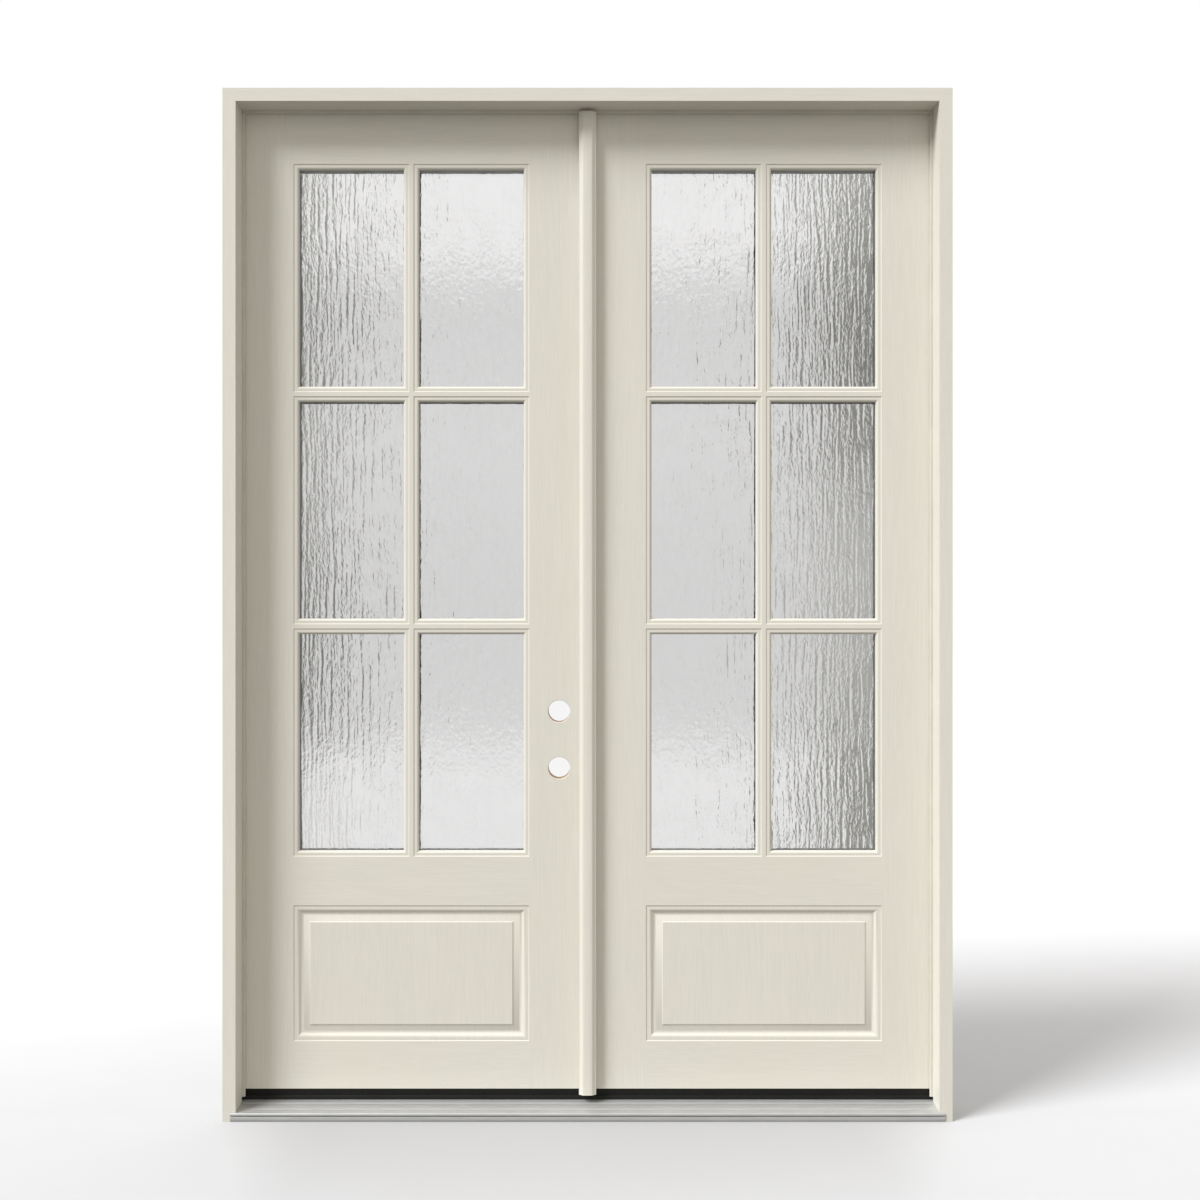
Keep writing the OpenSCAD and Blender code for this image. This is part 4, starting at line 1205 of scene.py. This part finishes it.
@dataclass
class Seals:
    """The weatherstrips behind the stops and the sweeps under the leaves. Sizes are in metres."""

    palette: Palette
    barb: float = 0.0084
    strip_w: float = 0.0204
    strip_t: float = 0.0087
    bulb_r: float = 0.0042
    sweep_skirt: float = 0.0015
    wall: float = 0.0024
    base_t: float = 0.003
    fin_t: float = 0.0024
    fin_taper: float = 0.0012
    fin_lean: float = 0.0018
    fins: tuple[float, ...] = (0.011, 0.021, 0.031)
    barbs: tuple[float, ...] = (0.012, 0.030)

    def build(self) -> None:
        """Builds and dresses the strips and the sweeps."""
        self.build_strips()
        for side in Side:
            self.build_sweep(side)

    def strip_outline(self) -> np.ndarray:
        """The strip's section in (out from the board, behind the stop): a barb, and a full soft bulb."""
        w, t = self.strip_w, self.strip_t
        angle = np.linspace(math.pi / 2, 0.0, 9)
        r = self.bulb_r
        bulb = np.column_stack([w - r + r * np.cos(angle), t - r + r * np.sin(angle)])
        stem = np.array([[-self.barb, 0.0004], [-self.barb, 0.0024], [0.0, 0.0024], [0.0004, t - 0.0012],
                         [0.0016, t]])
        return np.vstack([stem, bulb, [[w, 0.0016], [w - 0.0016, 0.0], [0.0, 0.0], [0.0, 0.0004]]])

    def build_strips(self) -> None:
        """Builds the strips at both jambs and at the head."""
        outline = eased(self.strip_outline(), 0.0007)
        for side in Side:
            node = f"{side.value}_weatherstrip"
            low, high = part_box(node)
            sign = 1.0 if side is Side.LEFT else -1.0
            board = low.x + self.barb if side is Side.LEFT else high.x - self.barb
            surface = Surface()
            section = outline * [sign, 1.0] + [board, low.y]
            surface.add_extrusion(section, Axis.UPRIGHT, low.z, high.z)
            self.palette.dress(surface.make(f"{node}_bulb", crease_deg=30.0), node)
        low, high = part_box("head_weatherstrip")
        surface = Surface()
        section = outline[:, ::-1] * [1.0, -1.0] + [low.y, high.z - self.barb]
        surface.add_extrusion(section, Axis.ACROSS, low.x, high.x)
        self.palette.dress(surface.make("head_weatherstrip_bulb", crease_deg=30.0), "head_weatherstrip")

    def sweep_outline(self, leaf_t: float, drop: float) -> np.ndarray:
        """The sweep's section in (behind the leaf's face, above its foot).

        A flat base with a skirt at each face. Each fin leans back on a parabola and thins to its tip.
        """
        inner, wall = self.sweep_skirt, self.wall
        front = [[inner, 0.0], [inner, -drop * 0.45], [inner + 0.0006, -drop * 0.52], [inner + 0.0006, -drop],
                 [inner + wall, -drop], [inner + wall, -self.base_t]]
        t = np.linspace(0.0, 1.0, 7)
        lean, thick = self.fin_lean * t ** 2, self.fin_t - self.fin_taper * t
        z = -self.base_t - (drop - self.base_t) * t
        fin = np.vstack([np.column_stack([lean, z]), np.column_stack([lean + thick, z])[::-1]])
        fins = [fin + [place, 0.0] for place in self.fins]
        back = [[leaf_t - inner - wall, -self.base_t], [leaf_t - inner - wall, -drop], [leaf_t - inner, -drop],
                [leaf_t - inner, 0.0]]
        return np.vstack([front, *fins, back])

    def build_sweep(self, side: Side) -> None:
        """Builds the sweep of one leaf, with the barbs that hold it."""
        node = f"{side.value}_door_sweep"
        low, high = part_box(node)
        face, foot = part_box(f"{side.value}_exterior_skin")[0].yz
        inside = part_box(f"{side.value}_interior_skin")[1].y
        rail_low, rail_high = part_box(f"{side.value}_bottom_rail")
        surface = Surface()
        section = eased(self.sweep_outline(inside - face, foot - low.z), 0.0004, 2) + [face, foot]
        surface.add_extrusion(section, Axis.ACROSS, low.x, high.x)
        for place in self.barbs:
            barb = rectangle(face + place, face + place + self.wall, foot - 0.001, high.z)
            surface.add_extrusion(barb, Axis.ACROSS, rail_low.x, rail_high.x)
        self.palette.dress(surface.make(f"{node}_finned", crease_deg=30.0), node)


@dataclass
class Hardware:
    """Hinges, strikes and flush bolts. Sizes are in metres."""

    palette: Palette
    pin_r: float = 0.0035
    tip_r: float = 0.0055
    tip_h: float = 0.0016
    dome_h: float = 0.0029
    chamfer: float = 0.0004
    hinge_h: float = 0.1016
    hinges: int = 4
    plate_edge: float = 0.0003

    def build(self) -> None:
        """Builds the pins and the eased plates."""
        for side in Side:
            self.build_pins(side)
            eased_copy(f"{side.value}_jamb_hinge_plates", self.plate_edge, self.palette)
            eased_copy(f"{side.value}_leaf_hinge_plates", self.plate_edge, self.palette)
        for node in ("lock_strikes", "head_bolt_strike", "sill_bolt_strike", "top_bolt", "bottom_bolt"):
            eased_copy(node, self.plate_edge, self.palette)

    def pin_profile(self) -> np.ndarray:
        """Radius and height of a pin: a chamfered foot, the shank, and a domed tip above the barrel.

        The dome is a quarter ellipse: r = R cos t, h = h0 + H sin t.
        """
        shank_low, shank_high = -self.hinge_h / 2 + 0.001, self.hinge_h / 2 + 0.0002
        cut = self.chamfer
        shank = [[0.0, shank_low], [self.pin_r - cut, shank_low], [self.pin_r, shank_low + cut],
                 [self.pin_r, shank_high], [self.tip_r - cut, shank_high], [self.tip_r, shank_high + cut]]
        t = np.linspace(0.0, math.pi / 2, 9)
        dome = np.column_stack([self.tip_r * np.cos(t), shank_high + self.tip_h + self.dome_h * np.sin(t)])
        dome[-1, 0] = 0.0
        return np.vstack([shank, dome])

    def build_pins(self, side: Side) -> None:
        """Builds the pins of one leaf's hinges in one piece."""
        node = f"{side.value}_hinge_pins"
        low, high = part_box(node)
        profile = self.pin_profile()
        x, y = (low.x + high.x) / 2, (low.y + high.y) / 2
        surface = Surface()
        for z in np.linspace(low.z - profile[:, 1].min(), high.z - profile[:, 1].max(), self.hinges):
            surface.add_lathe(profile, np.array([x, y, z]))
        self.palette.dress(surface.make(f"{node}_turned", crease_deg=30.0), node)


# ---------------------------------------------------------------- studio


@dataclass
class Studio:
    """Pale floor, a broad soft key light, soft sky, a banded wall for glass and gloss, and the camera."""

    lens_mm: float = 41.83
    sensor_mm: float = 36.0
    distance: float = 3.366
    eye_z: float = 1.2488
    shift_x: float = 0.0104
    shift_y: float = 0.0036
    towards_light: Colour = (-0.599, -0.390, 0.700)
    sun_strength: float = 3.72
    sun_angle: float = 0.41
    sky_front: Colour = (0.79, 0.755, 0.715)
    ground_front: Colour = (0.325, 0.311, 0.300)
    sky_back: Colour = (1.05, 1.05, 1.05)
    side_fill: float = 0.18
    floor_size: float = 60.0
    # The floor's painted shade: a base grey at the doors' foot, gains that paint it paler beside and in front
    # of them up to a cap, and one that paints it paler behind them.
    floor_grey: float = 0.44
    floor_most: float = 0.104
    beside_span: Span = (0.62, 0.90)
    beside_gain: float = 0.085
    before_gain: float = 0.17
    behind_gain: float = 0.10
    wall_stops: Stops = ((-90, 0.40), (-18, 0.45), (-12.5, 0.84), (-6.3, 0.86), (-5.2, 0.71), (0.5, 0.70),
                         (4, 0.722), (7, 0.745), (9.5, 0.72), (12.9, 0.70), (13.9, 0.90), (90, 0.92))
    left_stops: Stops = ((-90, 0.40), (-18, 0.42), (-12.5, 0.62), (-6.8, 0.68), (-5.2, 0.19), (0.0, 0.19),
                         (6, 0.36), (11, 0.20), (16, 0.34), (40, 0.6))
    right_stops: Stops = ((-90, 0.40), (-18, 0.50), (-11.0, 0.27), (-7.0, 0.27), (-3, 0.40), (2.5, 0.46),
                          (7.6, 0.22), (11, 0.19), (16, 0.34), (40, 0.6))
    far_colour: Colour = (0.45, 0.45, 0.445)
    left_edge: Span = (-12.2, -10.6)
    right_edge: Span = (9.2, 10.4)
    far_span: Span = (26.0, 48.0)
    broken_deg: float = 5.0

    def build(self) -> None:
        """Builds the whole studio."""
        self.build_camera()
        self.build_sun()
        self.build_floor()
        self.build_surroundings()
        bpy.context.scene.view_settings.view_transform = "Standard"
        LOG.info("studio ready")

    def build_camera(self) -> None:
        """Sets up the camera square to the doors."""
        data = bpy.data.cameras.new("camera")
        data.lens = self.lens_mm
        data.sensor_width = self.sensor_mm
        data.shift_x = self.shift_x
        data.shift_y = self.shift_y
        camera = linked("camera", data)
        camera.location = (0.0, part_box("head_jamb")[0].y - self.distance, self.eye_z)
        camera.rotation_euler = (math.pi / 2, 0.0, 0.0)
        bpy.context.scene.camera = camera

    def build_sun(self) -> None:
        """Adds the key light, high on the left in front of the doors."""
        data = bpy.data.lights.new("key", "SUN")
        data.energy = self.sun_strength
        data.angle = self.sun_angle
        data.color = (0.985, 1.0, 1.03)
        x, y, z = self.towards_light
        linked("key", data).rotation_euler = (math.atan2(math.hypot(x, y), z), 0.0, math.atan2(x, -y))

    def build_floor(self) -> None:
        """Lays the pale floor. Its grey is painted shade: darkest at the foot of the doors and paler beside
        them, in front of them and behind them, where the paleness also lightens their cast shadow. Diffuse
        light, glass and gloss look past it.
        """
        half = self.floor_size / 2
        surface = Surface()
        surface.add_extrusion(rectangle(-half, half, -0.05, -0.0002), Axis.ACROSS, -half, half)
        floor = surface.make("floor")
        material, graph = new_material("pale_floor")
        parts = graph.node("SeparateXYZ", None, Vector=graph.place()).outputs
        # Painted shade: the grey is lowest at the doors' foot and rises with distance beside and in front of
        # them.
        across = graph.math("ABSOLUTE", parts[0])
        edge = graph.ramp(across, *self.beside_span, 0.0, self.beside_gain)
        beside = graph.math("ADD", edge, graph.ramp(across, 0.9, 1.9, 0.0, 0.03, smooth=False))
        before = graph.ramp(parts[1], -1.2, 0.0, self.before_gain, 0.0, smooth=False)
        near = graph.math("MINIMUM", graph.math("ADD", beside, before), self.floor_most)
        # Painted light: the floor behind the doors grows paler, which lightens the shadow they cast there.
        behind = graph.ramp(parts[1], 0.0, 1.2, 0.0, self.behind_gain, smooth=False)
        grey = graph.math("ADD", graph.math("ADD", near, behind), self.floor_grey)
        base = graph.vector("MULTIPLY", grey, (1.0, 1.0, 1.008))
        specks = graph.noise(graph.place(), 7.0, 3.0, 0.5)
        base = graph.blend(graph.ramp(specks, 0.3, 0.7, 0.0, 0.012), base, (0.2, 0.2, 0.2))
        shader = graph.node("BsdfPrincipled", None, Base_Color=base, Roughness=0.95, Specular_IOR_Level=0.0)
        graph.node("OutputMaterial", None, Surface=shader.outputs[0])
        floor.data.materials.append(material)
        floor.visible_diffuse = False
        floor.visible_transmission = False
        floor.visible_glossy = False

    def build_surroundings(self) -> None:
        """Builds the world.

        What lights the doors is a soft sky, paler behind them, over a dim ground. What glass and
        gloss show is a tall bright wall between two darker wings: bright above, grey at mid
        height, bright again below, and dim underfoot.
        """
        world = bpy.data.worlds.new("studio")
        bpy.context.scene.world = world
        world.use_nodes = True
        world.cycles.sampling_method = "NONE"
        graph = Graph(world.node_tree)
        parts = graph.node("SeparateXYZ", None, Vector=graph.node("TexCoord").outputs["Generated"]).outputs
        soft = graph.blend(graph.ramp(parts[2], -0.12, 0.12), self.ground_front, self.sky_front)
        soft = graph.blend(graph.ramp(parts[1], -0.05, 0.35), soft, self.sky_back)
        fill = graph.ramp(parts[0], -1.0, 1.0, 1.0 - self.side_fill, 1.0 + self.side_fill, smooth=False)
        soft = graph.vector("MULTIPLY", soft, fill)
        to_degrees = 180.0 / math.pi
        turn = graph.math("ARCTAN2", parts[0], graph.math("ABSOLUTE", parts[1]))
        azimuth = graph.math("MULTIPLY", turn, to_degrees)
        level = graph.math("MULTIPLY", graph.math("ARCSINE", parts[2]), to_degrees)
        angles = graph.node("CombineXYZ", None, X=azimuth, Y=level).outputs[0]
        broken = graph.math("SUBTRACT", graph.noise(angles, 2.6, 3.0, 0.65), 0.5)
        elevation = graph.math("ADD", level, graph.math("MULTIPLY", broken, self.broken_deg))
        streaks = graph.noise(graph.vector("MULTIPLY", angles, (2.2, 0.12, 1.0)), 1.0, 3.0, 0.6)
        wall = graph.vector("MULTIPLY", self.strip(graph, elevation, self.wall_stops),
                            graph.ramp(streaks, 0.3, 0.7, 0.955, 1.035))
        left = self.strip(graph, elevation, self.left_stops)
        right = self.strip(graph, elevation, self.right_stops)
        shown = graph.blend(graph.ramp(azimuth, *self.left_edge, 1.0, 0.0), wall, left)
        shown = graph.blend(graph.ramp(azimuth, *self.right_edge), shown, right)
        far = graph.ramp(graph.math("ABSOLUTE", azimuth), *self.far_span)
        shown = graph.blend(far, shown, self.far_colour)
        light_path = graph.node("LightPath").outputs
        seen = graph.blend(light_path["Is Diffuse Ray"], shown, soft)
        seen = graph.blend(light_path["Is Camera Ray"], seen, (1.0, 1.0, 1.0))
        background = graph.node("Background", None, Color=seen, Strength=1.0)
        graph.node("OutputWorld", None, Surface=background.outputs[0])

    @staticmethod
    def strip(graph: Graph, elevation: bpy.types.NodeSocket, stops: Stops) -> bpy.types.NodeSocket:
        """A grey that changes with the height above the horizon.

        Args:
            graph: the world's graph.
            elevation: degrees above the horizon.
            stops: degrees and grey, from low to high.

        Returns:
            The colour socket.
        """
        node = graph.node("ValToRGB", None, Fac=graph.ramp(elevation, -90.0, 90.0, smooth=False))
        ramp = node.color_ramp
        while len(ramp.elements) < len(stops):
            ramp.elements.new(0.5)
        for element, (degrees, grey) in zip(ramp.elements, stops):
            element.position = (degrees + 90.0) / 180.0
            element.color = (grey, grey, grey * (0.86 + 0.14 * min(1.0, grey / 0.7)), 1.0)
        return node.outputs["Color"]


def main() -> None:
    """Builds the doors and the studio."""
    logging.basicConfig(level=logging.INFO, format="%(name)s: %(message)s")
    studio = Studio()
    studio.build()
    palette = Palette(Effects())
    palette.dress_frame()
    Joinery(palette).build()
    Sill(palette).build()
    Seals(palette).build()
    Hardware(palette).build()
    for seed, side in enumerate(Side, start=11):
        Leaf(side, palette, seed).build()


if __name__ == "__main__":
    main()
